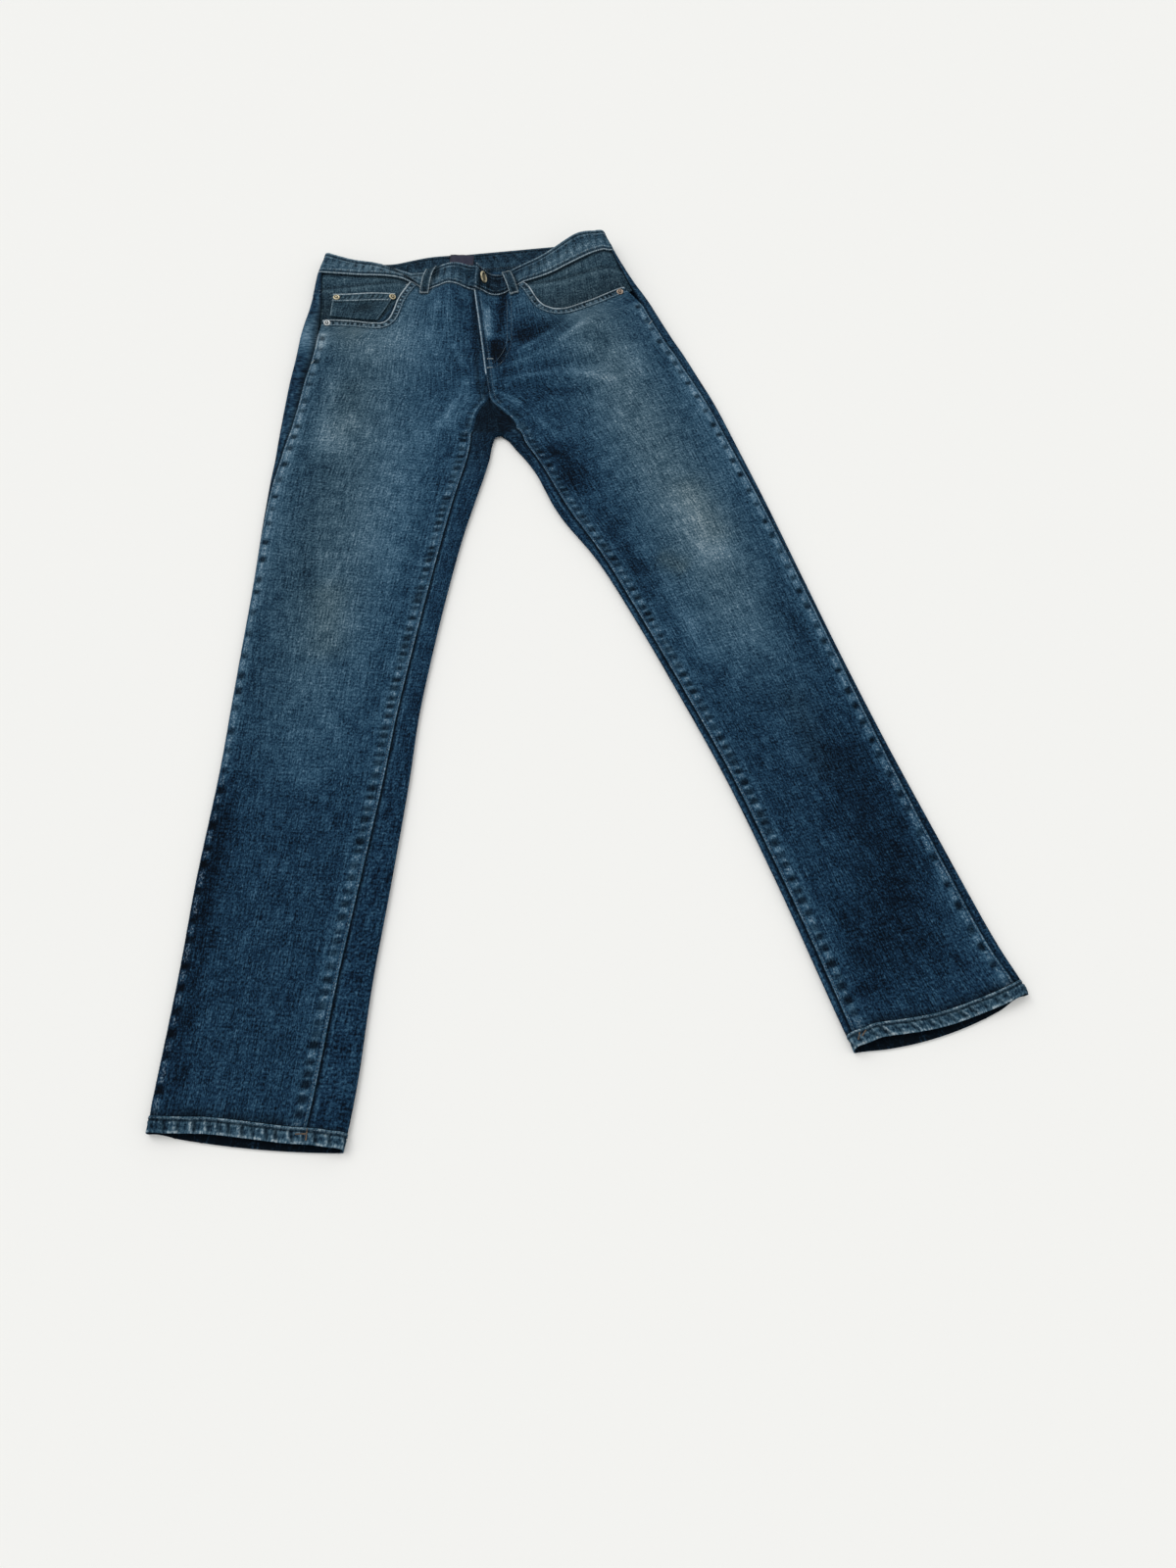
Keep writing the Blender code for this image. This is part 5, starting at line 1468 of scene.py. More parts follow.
def new_material(name):
    material = bpy.data.materials.new(name)
    material.use_nodes = True
    material.node_tree.nodes.clear()
    return material, material.node_tree


def surfaced(material, **inputs):
    """The material, once its surface has these inputs."""
    tree = material.node_tree
    shader = add_node(tree, "ShaderNodeBsdfPrincipled", **inputs)
    add_node(tree, "ShaderNodeOutputMaterial", Surface=shader.outputs["BSDF"])
    return material


def mixed(tree, share, start, end):
    """The colour a share of the way from start to end."""
    node = add_node(tree, "ShaderNodeMix", {"data_type": "RGBA"})
    for index, value in ((0, share), (6, start), (7, end)):
        feed(tree, node.inputs[index], value)
    return node.outputs[2]


def maths(tree, operation, first, second=0.0, third=0.0, clamp=False):
    node = add_node(tree, "ShaderNodeMath", {"operation": operation, "use_clamp": clamp})
    for socket, value in zip(node.inputs, (first, second, third)):
        feed(tree, socket, value)
    return node.outputs[0]


def swung(tree, marks, share, level, clamp=False):
    """A level that a pattern swings up and down by a share."""
    return maths(tree, "MULTIPLY_ADD", maths(tree, "SUBTRACT", marks, 0.5), share, level, clamp)


def noise(tree, place, scale, detail, rough=0.5):
    return add_node(tree, "ShaderNodeTexNoise", Vector=place, Scale=scale, Detail=detail,
                    Roughness=rough).outputs[0]


def bumped(tree, rise, strength, distance):
    """The normal of a surface that stands up by rise."""
    return add_node(tree, "ShaderNodeBump", Height=rise, Strength=strength, Distance=distance).outputs[0]


# %% [markdown]
# Denim is a cotton twill with an indigo warp and a white weft. Uneven warp yarns fade to short streaks
# along the leg, called slub, crossed by finer marks of the weft. The real twill lines are 0.7 mm apart and
# its specks as small, too fine for a picture of the whole garment, so both are drawn at about 2 mm. All of
# it is one number, how much dye is gone, lowered where shade is painted, and a ramp colours it. Kept dye
# and painted shade then darken it toward near-black.

# %% Washed denim
TWILL_SPACING = 1.9 * MM
# The width and length of each pattern's marks in millimetres, its detail and roughness, and how far it
# swings the level.
PATTERNS = {
    "slub": ((1.9, 24.0), 2.0, 0.5, 0.70),
    "weft": ((13.0, 2.2), 1.0, 0.5, 0.38),
    "grain": ((1.9, 2.6), 2.0, 0.7, 1.25),
    "clouds": ((22.0, 30.0), 3.0, 0.5, 0.26),
    "marks": ((30.0, 9.0), 2.0, 0.5, 0.22),
}
TWILL_SHARE = 0.05
# From cloth that kept its dye to cloth that has lost nearly all of it.
INDIGO = [
    (0.00, "#030a14"), (0.15, "#081a2b"), (0.30, "#122d45"), (0.50, "#284961"), (0.70, "#43647c"),
    (0.85, "#5a7a92"), (1.00, "#8199aa"),
]
# The same, where the wash left the cloth greenish grey.
GREENISH = [
    (0.00, "#050c11"), (0.15, "#101d25"), (0.30, "#1e3039"), (0.50, "#35484f"), (0.70, "#52646a"),
    (0.85, "#6c7b80"), (1.00, "#8d999b"),
]
BARE_COTTON = "#a9b5bb"
# The near-black of dye kept in grooves, and of the shade painted into them.
KEPT_DYE_AND_SHADE = "#03070c"


def number(tree, name):
    return add_node(tree, "ShaderNodeAttribute", {"attribute_name": name}).outputs["Fac"]


def pattern(tree, place, size, detail, rough=0.5):
    """Noise whose marks are about this wide and long, in millimetres."""
    scale = (1 / (size[0] * MM), 1 / (size[1] * MM), 1.0)
    scaled = add_node(tree, "ShaderNodeMapping", {"vector_type": "POINT"}, Vector=place, Scale=scale)
    return noise(tree, scaled.outputs[0], 1.0, detail, rough)


def ramp(tree, share, stops):
    node = add_node(tree, "ShaderNodeValToRGB", Fac=share)
    points = node.color_ramp.elements
    for _ in stops[2:]:
        points.new(0.5)
    for point, (place, code) in zip(points, stops):
        point.position = place
        point.color = colour(code)
    return node.outputs["Color"]


def denim(name, inside_fade):
    """Washed denim. inside_fade is how pale the cloth's other face is. The fade and dye numbers
    bring painted shade as well as the wash.
    """
    material, tree = new_material(name)
    fade, wear, dye, tint, inside = (number(tree, key) for key in ("fade", "wear", "dye", "tint", "inside"))
    wear = maths(tree, "MULTIPLY", wear, maths(tree, "MULTIPLY_ADD", inside, -0.8, 1.0))
    cloth = add_node(tree, "ShaderNodeUVMap", {"uv_map": "cloth"}).outputs[0]
    outer = maths(tree, "MULTIPLY", fade, maths(tree, "SUBTRACT", 1.0, inside))
    level = maths(tree, "MULTIPLY_ADD", inside, inside_fade, outer)
    drawn = {}
    for key, (size, detail, rough, share) in PATTERNS.items():
        drawn[key] = pattern(tree, cloth, size, detail, rough)
        level = swung(tree, drawn[key], share, level)
    twill = add_node(tree, "ShaderNodeTexWave", {"bands_direction": "DIAGONAL"}, Vector=cloth,
                     Scale=0.18 / TWILL_SPACING, Distortion=1.2, Detail=1.0, Detail_Scale=3.0).outputs[1]
    level = swung(tree, twill, TWILL_SHARE, level)
    level = maths(tree, "MULTIPLY_ADD", wear, 0.75, level)
    washed = mixed(tree, tint, ramp(tree, level, INDIGO), ramp(tree, level, GREENISH))
    rubbed = maths(tree, "MULTIPLY_ADD", swung(tree, drawn["grain"], 1.2, wear), 1.7, -0.7, clamp=True)
    bare = mixed(tree, rubbed, washed, colour(BARE_COTTON))
    # Kept dye and painted shade both darken the cloth toward near-black.
    dyed_and_shaded = mixed(tree, maths(tree, "MULTIPLY", dye, 0.94), bare, colour(KEPT_DYE_AND_SHADE))
    yarns = maths(tree, "ADD", drawn["slub"], drawn["grain"])
    rise = maths(tree, "ADD", maths(tree, "MULTIPLY", twill, 0.5), yarns)
    return surfaced(material, Base_Color=dyed_and_shaded, Roughness=maths(tree, "MULTIPLY_ADD", wear, -0.06, 0.94),
                    Normal=bumped(tree, rise, 0.25, 0.0004), Specular_IOR_Level=0.06)


def dress(piece, material, node=None):
    """What every piece is told: its material, its body and the CAD node that it replaces."""
    piece.data.materials.append(material)
    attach(piece, "root")
    if node:
        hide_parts(node)


WASHED = denim("washed denim", 0.30)
SHADED = denim("shaded denim", 0.24)
# The hem's inside face is painted nearly black: painted shade in the hem's opening.
HEM_SHADED_INSIDE = denim("hem denim", -0.08)
IN_POCKET = ("pocket_facing_right", "pocket_facing_left", "coin_pocket")
for node, piece in CLOTH.items():
    turned_up = HEM_SHADED_INSIDE if node.startswith("hem") else WASHED
    dress(piece, SHADED if node in IN_POCKET else turned_up, node)


# %% [markdown]
# ## Sewing and trims
# What is sewn on lies on the cloth, so a ray goes straight down to the cloth that shows, and gives the
# place and the way that the cloth faces there.

# %% Finding the cloth from above
ON_TOP = [
    BVHTree.FromPolygons([vertex.co for vertex in piece.data.vertices],
                         [face.vertices for face in piece.data.polygons])
    for node, piece in CLOTH.items()
    if node.startswith(("front", "waistband", "pocket_facing", "coin", "hem"))
]


def drop(x, y):
    """The highest place of the cloth at a plan point, and its normal."""
    above = Vector((x + SHIFT[0], y + SHIFT[1], 200.0)) * MM
    hits = [tree.ray_cast(above, Vector((0, 0, -1)))[:2] for tree in ON_TOP]
    hits = [hit for hit in hits if hit[0] is not None]
    if not hits:
        return None
    place, normal = max(hits, key=lambda hit: hit[0].z)
    return np.array(place) / MM - SHIFT, np.array(normal if normal.z > 0 else -normal)


def height_at(plan):
    found = drop(*plan)
    return np.nan if found is None else found[0][2]


def laid_strip(line, offsets, step, lift, soften=3):
    """A grid that follows a plan line, with one column at each distance to its left. lift is given
    the shares along and across, and says how high the strip stands over the softened cloth."""
    line = np.array(line, float)
    run = run_of(np.hypot(*np.diff(line, axis=0).T))
    at = np.linspace(0.0, run[-1], int(run[-1] / step) + 1)
    middle = spline(line, run, at)
    way = np.gradient(middle, axis=0)
    way /= np.linalg.norm(way, axis=1, keepdims=True)
    left = np.stack([-way[:, 1], way[:, 0]], axis=1)
    plan = middle[:, None] + left[:, None] * np.array(offsets)[None, :, None]
    heights = np.array([[height_at(place) for place in row] for row in plan])
    for _ in range(soften):
        padded = np.pad(heights, ((1, 1), (0, 0)), mode="edge")
        heights = np.fmax(heights, 0.5 * (padded[:-2] + padded[2:]))
    heights = np.where(np.isnan(heights), np.nanmax(heights, axis=1, keepdims=True), heights)
    heights = heights + lift((at / run[-1])[:, None], np.linspace(0.0, 1.0, len(offsets))[None])
    return np.concatenate([plan, heights[..., None]], axis=2), at


# %% [markdown]
# The front's edge is turned under along the pocket mouth and sewn twice, which makes a thick band with
# square puckers between the rows. It is a finer strip of its own, because its puckers are only six
# millimetres apart.

# %% The sewn edge of the pocket mouths
MOUTH_WIDTH = 11.5
MOUTH_COLUMNS = 14
MOUTH_WALL = 0.5
# The strip starts and ends just inside the ends of the pocket mouth.
MOUTH_SHARES = np.linspace(0.012, 0.972, 40)


def mouth_strip(half):
    right = half == "right"
    line = [along(POCKET[half], share) for share in MOUTH_SHARES]
    offsets = np.linspace(-0.4, -MOUTH_WIDTH, MOUTH_COLUMNS) * (-1.0 if right else 1.0)
    thick = lambda s, t: 0.75 * smooth_array(9 * t + 0.2) * smooth_array((1.02 - t) / 0.12) + 0.05
    points, at = laid_strip(line, offsets, 1.1, thick)
    fine = Fine(points, np.linspace(0, MOUTH_WIDTH, MOUTH_COLUMNS), at)
    finish = Finish(points, 0.30, 0.35, 0.4)
    inward = np.broadcast_to(fine.across[None], points.shape[:2])
    dents = puckers(np.broadcast_to(at[:, None], points.shape[:2]), 6.4, 4.0, 91 if right else 92)
    between = np.exp(-(((inward - 5.4) / 2.8) ** 4))
    # Painted shade in the dents between the stitch rows and in the grooves beside them; the pale edge and
    # the swells are wear.
    finish.lines(inward, [(0.8, 1.2, 0.5, 1.0)])
    finish.mark(between * dents, relief=-0.6, dye=0.95)
    finish.mark(between * (1 - dents), relief=0.2, wear=0.42)
    finish.lines(inward, [(2.6, 0.7, -0.25, 0, 0.75), (9.0, 0.9, 0.2, 0.60), (10.8, 0.8, -0.2, 0, 0.40)])
    name = f"pocket_mouth_{half}"
    return add_sheet(name, name, points, fine, finish, MOUTH_WALL, right)


SEWN = []
for half in ("right", "left"):
    piece = mouth_strip(half)
    dress(piece, WASHED)
    SEWN.append(piece)

# %% [markdown]
# A belt loop is a strip folded in three, sewn along both edges and tacked at its ends. It stands off the
# band between the tacks, and its edges are rubbed pale. The two in front lean as in the photograph.

# %% Belt loops
LOOP_WIDTH = 12.5
LOOP_WALL = 1.4
LOOP_COLUMNS = 13
LOOPS = {
    "belt_loop_right": ([(-262.5, 1138.5), (-262.0, 1158.0), (-260.5, 1178.0), (-257.0, 1195.0)], 5.5),
    "belt_loop_left": ([(-137.0, 1146.5), (-142.0, 1160.0), (-148.0, 1176.0), (-153.0, 1190.0)], 4.0),
}
LOOP_OFFSETS = np.linspace(LOOP_WIDTH / 2, -LOOP_WIDTH / 2, LOOP_COLUMNS)


def loop_finish(points, seed):
    finish = Finish(points, 0.24, 0.55)
    edges = edges_of(points)
    side = np.minimum(edges.start, edges.end)
    ends = np.minimum(edges.low, edges.high)
    # Painted shade in the grooves beside the stitching, in the puckers and inside the tacks; the pale edges
    # are wear.
    finish.lines(side, [(0.5, 0.9, 0.15, 0.85), (2.2, 0.6, -0.25, 0, 0.5), (3.6, 0.8, 0.1, 0.25)])
    finish.lines(side, [(5.0, 1.6, -0.2, 0, 0.45)], puckers(edges.low, 4.5, 2.4, seed))
    finish.lines(ends, [(0.3, 0.8, 0, 0.6), (5.5, 0.9, -0.3, 0, 0.6)])
    finish.fade[:] = 0.26
    return finish


for seed, (node, (line, arch)) in enumerate(LOOPS.items()):
    standing = lambda s, t: 1.9 + arch * np.sin(np.pi * np.clip(s, 0, 1)) ** 0.8 - 0.5 * (2 * t - 1) ** 4
    points, at = laid_strip(line, LOOP_OFFSETS, 1.1, standing, 12)
    fine = Fine(points, np.linspace(0, LOOP_WIDTH, LOOP_COLUMNS), at)
    CLOTH[node] = add_sheet(node, f"{node}_cloth", points, fine, loop_finish(points, 101 + seed), LOOP_WALL)
    # A loop is so narrow that its stitches follow the finished face.
    GRIDS[node] = GRIDS[node]._replace(normals=normals_of(GRIDS[node].points))


# %% [markdown]
# The back pockets and the loops behind lie under the garment, flat on the surface, outer faces down. They
# are sewn all round, with pale rubbed edges and painted shade in the puckers beside the stitching.

# %% Pieces that lie underneath
POCKET_WALL = 1.5
BACK_LOOP_LENGTH = 46.0
BackLoop = namedtuple("BackLoop", "name half share")
BACK_LOOPS = [
    BackLoop("belt_loop_back_right", "right", 0.36),
    BackLoop("belt_loop_back", "right", 0.955),
    BackLoop("belt_loop_back_left", "left", 0.36),
]
UNDER_COLUMNS, UNDER_ROWS = 40, 36


def turned_plan(flat, angle, place):
    """Flat places, turned by an angle and moved to a plan point."""
    turn = np.array([[math.cos(angle), math.sin(angle)], [-math.sin(angle), math.cos(angle)]])
    return flat @ turn + np.array([place[0], place[1]])


def underside_piece(node, low_of, top_of, place, angle, seed):
    """A flat piece on the surface, from its lower and upper line in its own millimetres."""
    across = np.linspace(0.0, 1.0, UNDER_COLUMNS + 1)[None]
    up = np.linspace(0.0, 1.0, UNDER_ROWS + 1)[:, None]
    flat = low_of(across) * (1 - up)[..., None] + top_of(across) * up[..., None]
    plan = turned_plan(flat, angle, place)
    points = np.concatenate([plan, np.full(plan.shape[:2] + (1,), 0.12)], axis=2)
    edges = edges_of(points)
    nearest = np.minimum.reduce(edges)
    finish = Finish(points, 0.34, 0.1)
    finish.fade[:] = 0.36
    finish.lines(nearest, [(0.6, 1.4, 0, 0.55)])
    # Painted shade in the puckers beside the stitching.
    finish.lines(nearest, [(5.0, 2.2, 0, 0, 0.55)], puckers(edges.start + edges.low, 8.0, 4.0, seed))
    fine = Fine(points, edges.start.mean(axis=0), edges.low.mean(axis=1))
    CLOTH[node] = add_sheet(node, f"{node}_cloth", points, fine, finish, POCKET_WALL - 0.3, True)


def pocket_low(across):
    x = 132.0 * across - 66.0
    return np.stack([x, -128.0 + 32.0 * np.abs(x) / 66.0], axis=-1)


def pocket_top(across):
    return np.stack([144.0 * across - 72.0, 0.0 * across], axis=-1)


def loop_line(height):
    return lambda across: np.stack([LOOP_WIDTH * (across - 0.5), 0.0 * across + height], axis=-1)


for half in ("right", "left"):
    section = hip_section(half, YOKE_ROW - 0.18)
    run = section.back - section.outer_foot
    start, run = (section.outer_foot, run) if half == "right" else (section.back, -run)
    place = start + run * (0.50 if half == "right" else 0.47)
    underside_piece(f"back_pocket_{half}", pocket_low, pocket_top, place, math.atan2(run.y, run.x), 111)
for name, half, share in BACK_LOOPS:
    ends = []
    for row in (WAIST_ROW, WAIST_ROW + 1.0):
        section = hip_section(half, row)
        ends.append(Vector(section.on_outer(-section.quarter - share * section.under_length())[:2]))
    run = ends[1] - ends[0]
    angle = math.atan2(run.y, run.x) - math.pi / 2
    half_length = BACK_LOOP_LENGTH / 2
    underside_piece(name, loop_line(-half_length), loop_line(half_length), mix(*ends, 0.46), angle, 112)
for node, piece in CLOTH.items():
    if node.startswith(("belt_loop", "back_pocket")):
        dress(piece, WASHED, node)


# %% [markdown]
# ## Stitches
# A stitch is a short capsule of thread, pressed into the cloth. There are thousands, so Geometry Nodes
# place them: the tree takes points that know which way their thread runs and which way is up, puts a small
# ellipsoid on each, and gives the real mesh.

# %% A tree that places stitches
# Real thread is about half a millimetre thick. It is drawn thicker, so that it shows from this far.
THREAD_WIDTH = 0.75 * MM
STITCH_LENGTH = 2.3 * MM
STITCH_PITCH = 3.1


def stitch_tree():
    tree = bpy.data.node_groups.new("stitches", "GeometryNodeTree")
    kinds = {"Points": "Geometry", "Length": "Float", "Width": "Float", "Thread": "Material"}
    for name, kind in kinds.items():
        tree.interface.new_socket(name, in_out="INPUT", socket_type="NodeSocket" + kind)
    tree.interface.new_socket("Stitches", in_out="OUTPUT", socket_type="NodeSocketGeometry")
    given = tree.nodes.new("NodeGroupInput").outputs
    ball = add_node(tree, "GeometryNodeMeshUVSphere", Segments=6, Rings=4, Radius=0.5)
    size = add_node(tree, "ShaderNodeCombineXYZ", X=given["Length"], Y=given["Width"], Z=given["Width"])
    way, up = (add_node(tree, "GeometryNodeInputNamedAttribute", {"data_type": "FLOAT_VECTOR"}, Name=name)
               for name in ("way", "up"))
    turned = add_node(tree, "FunctionNodeAlignRotationToVector", {"axis": "X"}, Vector=way.outputs[0])
    turned = add_node(tree, "FunctionNodeAlignRotationToVector", {"axis": "Z", "pivot_axis": "X"},
                      Rotation=turned.outputs[0], Vector=up.outputs[0])
    placed = add_node(tree, "GeometryNodeInstanceOnPoints", Points=given["Points"],
                      Instance=ball.outputs["Mesh"], Rotation=turned.outputs[0], Scale=size.outputs[0])
    real = add_node(tree, "GeometryNodeRealizeInstances", Geometry=placed.outputs[0])
    smooth_ = add_node(tree, "GeometryNodeSetShadeSmooth", Geometry=real.outputs[0])
    dressed = add_node(tree, "GeometryNodeSetMaterial", Geometry=smooth_.outputs[0],
                       Material=given["Thread"])
    result = tree.nodes.new("NodeGroupOutput")
    tree.links.new(dressed.outputs[0], result.inputs["Stitches"])
    return tree


STITCHES = stitch_tree()


def sew(name, rows, thread, width=THREAD_WIDTH, length=STITCH_LENGTH):
    """Stitches at rows of (places, ways, normals), which are in plan millimetres."""
    places, ways, ups = (np.concatenate(parts) for parts in zip(*rows))
    places[:, 2] = np.maximum(places[:, 2], 0.5 * width / MM)
    mesh = bpy.data.meshes.new(name)
    mesh.from_pydata(((places + SHIFT) * MM).tolist(), [], [])
    for key, vectors in (("way", ways), ("up", ups)):
        mesh.attributes.new(key, "FLOAT_VECTOR", "POINT").data.foreach_set("vector", vectors.ravel())
    guide = in_scene(name + "_guide", mesh)
    modifier = guide.modifiers.new("stitches", "NODES")
    modifier.node_group = STITCHES
    sockets = {item.name: item.identifier for item in STITCHES.interface.items_tree}
    for key, value in (("Length", length), ("Width", width), ("Thread", thread)):
        modifier[sockets[key]] = value
    graph = bpy.context.evaluated_depsgraph_get()
    made = bpy.data.meshes.new_from_object(guide.evaluated_get(graph), depsgraph=graph)
    made.name = name
    bpy.data.objects.remove(guide)
    for key in ("way", "up"):
        if key in made.attributes:
            made.attributes.remove(made.attributes[key])
    piece = in_scene(name, made)
    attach(piece, "root")
    print(f"{name}: {len(places)} stitches")
    return piece


def read_at(at, run, values):
    """Places or ways, read between the points of a line."""
    return np.stack([np.interp(at, run, values[:, k]) for k in range(3)], axis=1)


def paced(places, normals, pitch=STITCH_PITCH):
    """Stitch centres at even steps along a line of places, with their ways and normals."""
    run = run_of(step_lengths(places))
    at = np.arange(0.6 * pitch, run[-1] - 0.3 * pitch, pitch)
    ups = read_at(at, run, normals)
    ways = read_at(at + 1.0, run, places) - read_at(at - 1.0, run, places)
    ways /= np.maximum(np.linalg.norm(ways, axis=1, keepdims=True), 1e-9)
    return read_at(at, run, places) + ups * 0.12, ways, ups


def beside(node, edge, distance, first=0.0, last=1.0, wall=0.0):
    """Stitches that run beside one edge of a piece, at a distance from it. With a wall, they are on
    the other face of the cloth."""
    grid = GRIDS[node]
    points, normals, away = grid.points, grid.normals, getattr(grid.edges, edge)
    if wall:
        points, normals = points - normals * wall, -normals
    if edge in ("low", "high"):
        points, normals, away = points.transpose(1, 0, 2), normals.transpose(1, 0, 2), away.T
    if edge in ("end", "high"):
        points, normals, away = points[:, ::-1], normals[:, ::-1], away[:, ::-1]
    chosen = range(int(first * (len(points) - 1)), int(last * (len(points) - 1)) + 1)
    return paced(*(np.concatenate([read_at([distance], away[line], kind[line]) for line in chosen])
                   for kind in (points, normals)))


def crotch_share(half):
    fine = GRIDS[f"front_{half}"].fine
    return float(np.searchsorted(fine.along, fine.row_at[LEG_CELLS]) / (len(fine.along) - 1))


def share_of_row(node, row):
    fine = GRIDS[node].fine
    return float(np.interp(fine.row_at[row], fine.along, np.linspace(0, 1, len(fine.along))))


# %% [markdown]
# Thread on washed denim is not one colour: most of it took on the blue of the cloth, and only the ends of
# the inseams still show tobacco brown.

# %% Threads
def thread_material(name, deep, pale):
    """Polyester core-spun thread: matt, with a fine twist along each stitch."""
    material, tree = new_material(name)
    place = add_node(tree, "ShaderNodeTexCoord").outputs["Object"]
    worn = noise(tree, place, 140.0, 2.0)
    face = mixed(tree, swung(tree, worn, 2.2, 0.5, clamp=True), colour(deep), colour(pale))
    bump = bumped(tree, noise(tree, place, 1400.0, 1.0), 0.3, 0.0002)
    return surfaced(material, Base_Color=face, Roughness=maths(tree, "MULTIPLY_ADD", worn, 0.1, 0.7),
                    Normal=bump, Specular_IOR_Level=0.15)


BLUE_THREAD = thread_material("blue core-spun thread", "#22384a", "#6f8492")
PALE_THREAD = thread_material("rubbed core-spun thread", "#5c6f7c", "#a9b3b6")
BROWN_THREAD = thread_material("tobacco core-spun thread", "#3d3a38", "#8a7460")


# %% Rows of stitches
def tacked(node, edge, distance):
    """A bar tack beside an edge: stitches side by side, across the way that a row would run."""
    row = beside(node, edge, distance)
    run = run_of(step_lengths(row[0]))
    centres, ways, ups = (read_at(np.arange(0.0, run[-1], 0.85), run, part) for part in row)
    return centres + ups * 0.25, np.cross(ups, ways), ups


def bar_tack(x, y, angle, length=8.0):
    """A bar tack on the cloth, at a plan point and an angle in degrees."""
    way = np.array([math.cos(math.radians(angle)), math.sin(math.radians(angle))])
    steps = np.arange(-length / 2, length / 2, 0.8)
    found = [drop(*(np.array([x, y]) + way * step)) for step in steps]
    found = [hit for hit in found if hit]
    places = np.array([place + normal * 0.25 for place, normal in found])
    ups = np.array([normal for _, normal in found])
    across = np.tile([-way[1], way[0], 0.0], (len(found), 1))
    return places, across, ups


pocket_rows, waist_rows, leg_rows, hidden_rows, tacks = [], [], [], [], []
for half in ("right", "left"):
    legs, hips = crotch_share(half), share_of_row(f"front_{half}", -POCKET_CELLS)
    pocket_rows += [beside(f"pocket_mouth_{half}", "start", distance) for distance in (2.6, 8.6)]
    leg_rows.append(beside(f"front_{half}", "start", 3.0, 0.0, legs - 0.004))
    leg_rows.append(beside(f"front_{half}", "end", 2.6, 0.0, hips))
    leg_rows.append(beside(f"hem_{half}", "high", 1.6))
    waist_rows += [beside(f"waistband_{half}", "high", 2.4), beside(f"waistband_{half}", "low", 1.8)]
    waist_rows += [beside(f"waistband_{half}", edge, 3.0, 0.5, 1.0, BAND_WALL_SHOWN)
                   for edge in ("high", "low")]
    hidden_rows += [beside(f"yoke_{half}", "low", distance) for distance in (2.0, 8.0)]
    hidden_rows += [beside(f"back_pocket_{half}", edge, distance)
                    for edge in ("start", "end", "low", "high") for distance in (2.5, 8.5)]
centre = crotch_share("left")
waist_rows += [beside("front_left", "start", distance, centre + 0.035) for distance in (2.2, 8.2)]
pocket_rows += [beside("coin_pocket", "high", distance) for distance in (2.0, 11.5)]
pocket_rows += [beside("coin_pocket", "start", 2.0), beside("coin_pocket", "end", 2.0)]
for node in LOOPS:
    waist_rows += [beside(node, edge, 2.2) for edge in ("start", "end")]
    tacks += [tacked(node, "low", 1.4), tacked(node, "high", 1.4)]
for loop in BACK_LOOPS:
    hidden_rows += [beside(loop.name, edge, 2.2) for edge in ("start", "end")]

# %% The fly's curved rows and the bar tacks
FLY_ROWS = [
    [(-141, 1138), (-138, 1110), (-135, 1080), (-133, 1055), (-136, 1032), (-143, 1012), (-153, 999)],
    [(-147, 1138), (-144, 1110), (-141, 1080), (-139, 1056), (-142, 1036), (-148, 1018), (-156, 1006)],
]
for row in FLY_ROWS:
    line = [along(row, share) for share in np.linspace(0, 1, 60)]
    found = [drop(*place) for place in line]
    waist_rows.append(paced(*(np.array(part) for part in zip(*found))))
BAR_TACKS = [
    (-157, 1017, 8), (-156, 1001, 8), (-129, 1168, 60), (-286, 1156, 20), (-389, 993, 75), (54, 1106, 60),
]
tacks += [bar_tack(*row) for row in BAR_TACKS]
HEM_TACKS = [(-222, 70, 4, 9.0), (-217, 70, 94, 9.0), (266, 180, 74, 7.0), (271, 183, 52, 7.0)]
hem_ends = [bar_tack(*row) for row in HEM_TACKS]
sew("stitches_pockets", pocket_rows, BLUE_THREAD)
sew("stitches_waist", waist_rows, BLUE_THREAD)
sew("stitches_legs", leg_rows, BLUE_THREAD)
sew("stitches_back", hidden_rows, BLUE_THREAD)
sew("bar_tacks", tacks, PALE_THREAD)
sew("hem_tacks", hem_ends, BROWN_THREAD, length=1.6 * MM)


# %% [markdown]
# ## Metal
# Rivets and button are pressed from thin sheet: a rim, a hollow ring and a small nipple, where the wash
# took the shine and left dark matter in the hollows. Each is a profile turned round its axis, and how deep
# a point lies in a hollow goes with it, for the material.

# %% Turned trims
def turned_trim(node, profile, steps, place, normal, material):
    """profile has rows of (radius, height, how dark), from the top down the outer side."""
    turn = Vector((0, 0, 1)).rotation_difference(Vector(normal)).to_matrix()
    points, dark = [], []
    for radius, height, depth in profile:
        for step in range(steps if radius else 1):
            angle = math.tau * step / steps
            local = Vector((radius * math.cos(angle), radius * math.sin(angle), height))
            points.append(np.array(place) + np.array(turn @ local))
            dark.append(depth)
    faces, ring = [], list(range(1, steps + 1))
    faces += [(0, ring[i], ring[(i + 1) % steps]) for i in range(steps)]
    for _ in range(2, len(profile) - 1):
        lower = [value + steps for value in ring]
        faces += [(ring[i], lower[i], lower[(i + 1) % steps], ring[(i + 1) % steps]) for i in range(steps)]
        ring = lower
    last = len(points) - 1
    faces += [(last, ring[(i + 1) % steps], ring[i]) for i in range(steps)]
    dress(mesh_of(f"{node}_metal", np.array(points), faces, {"hollow": dark}), material, node)


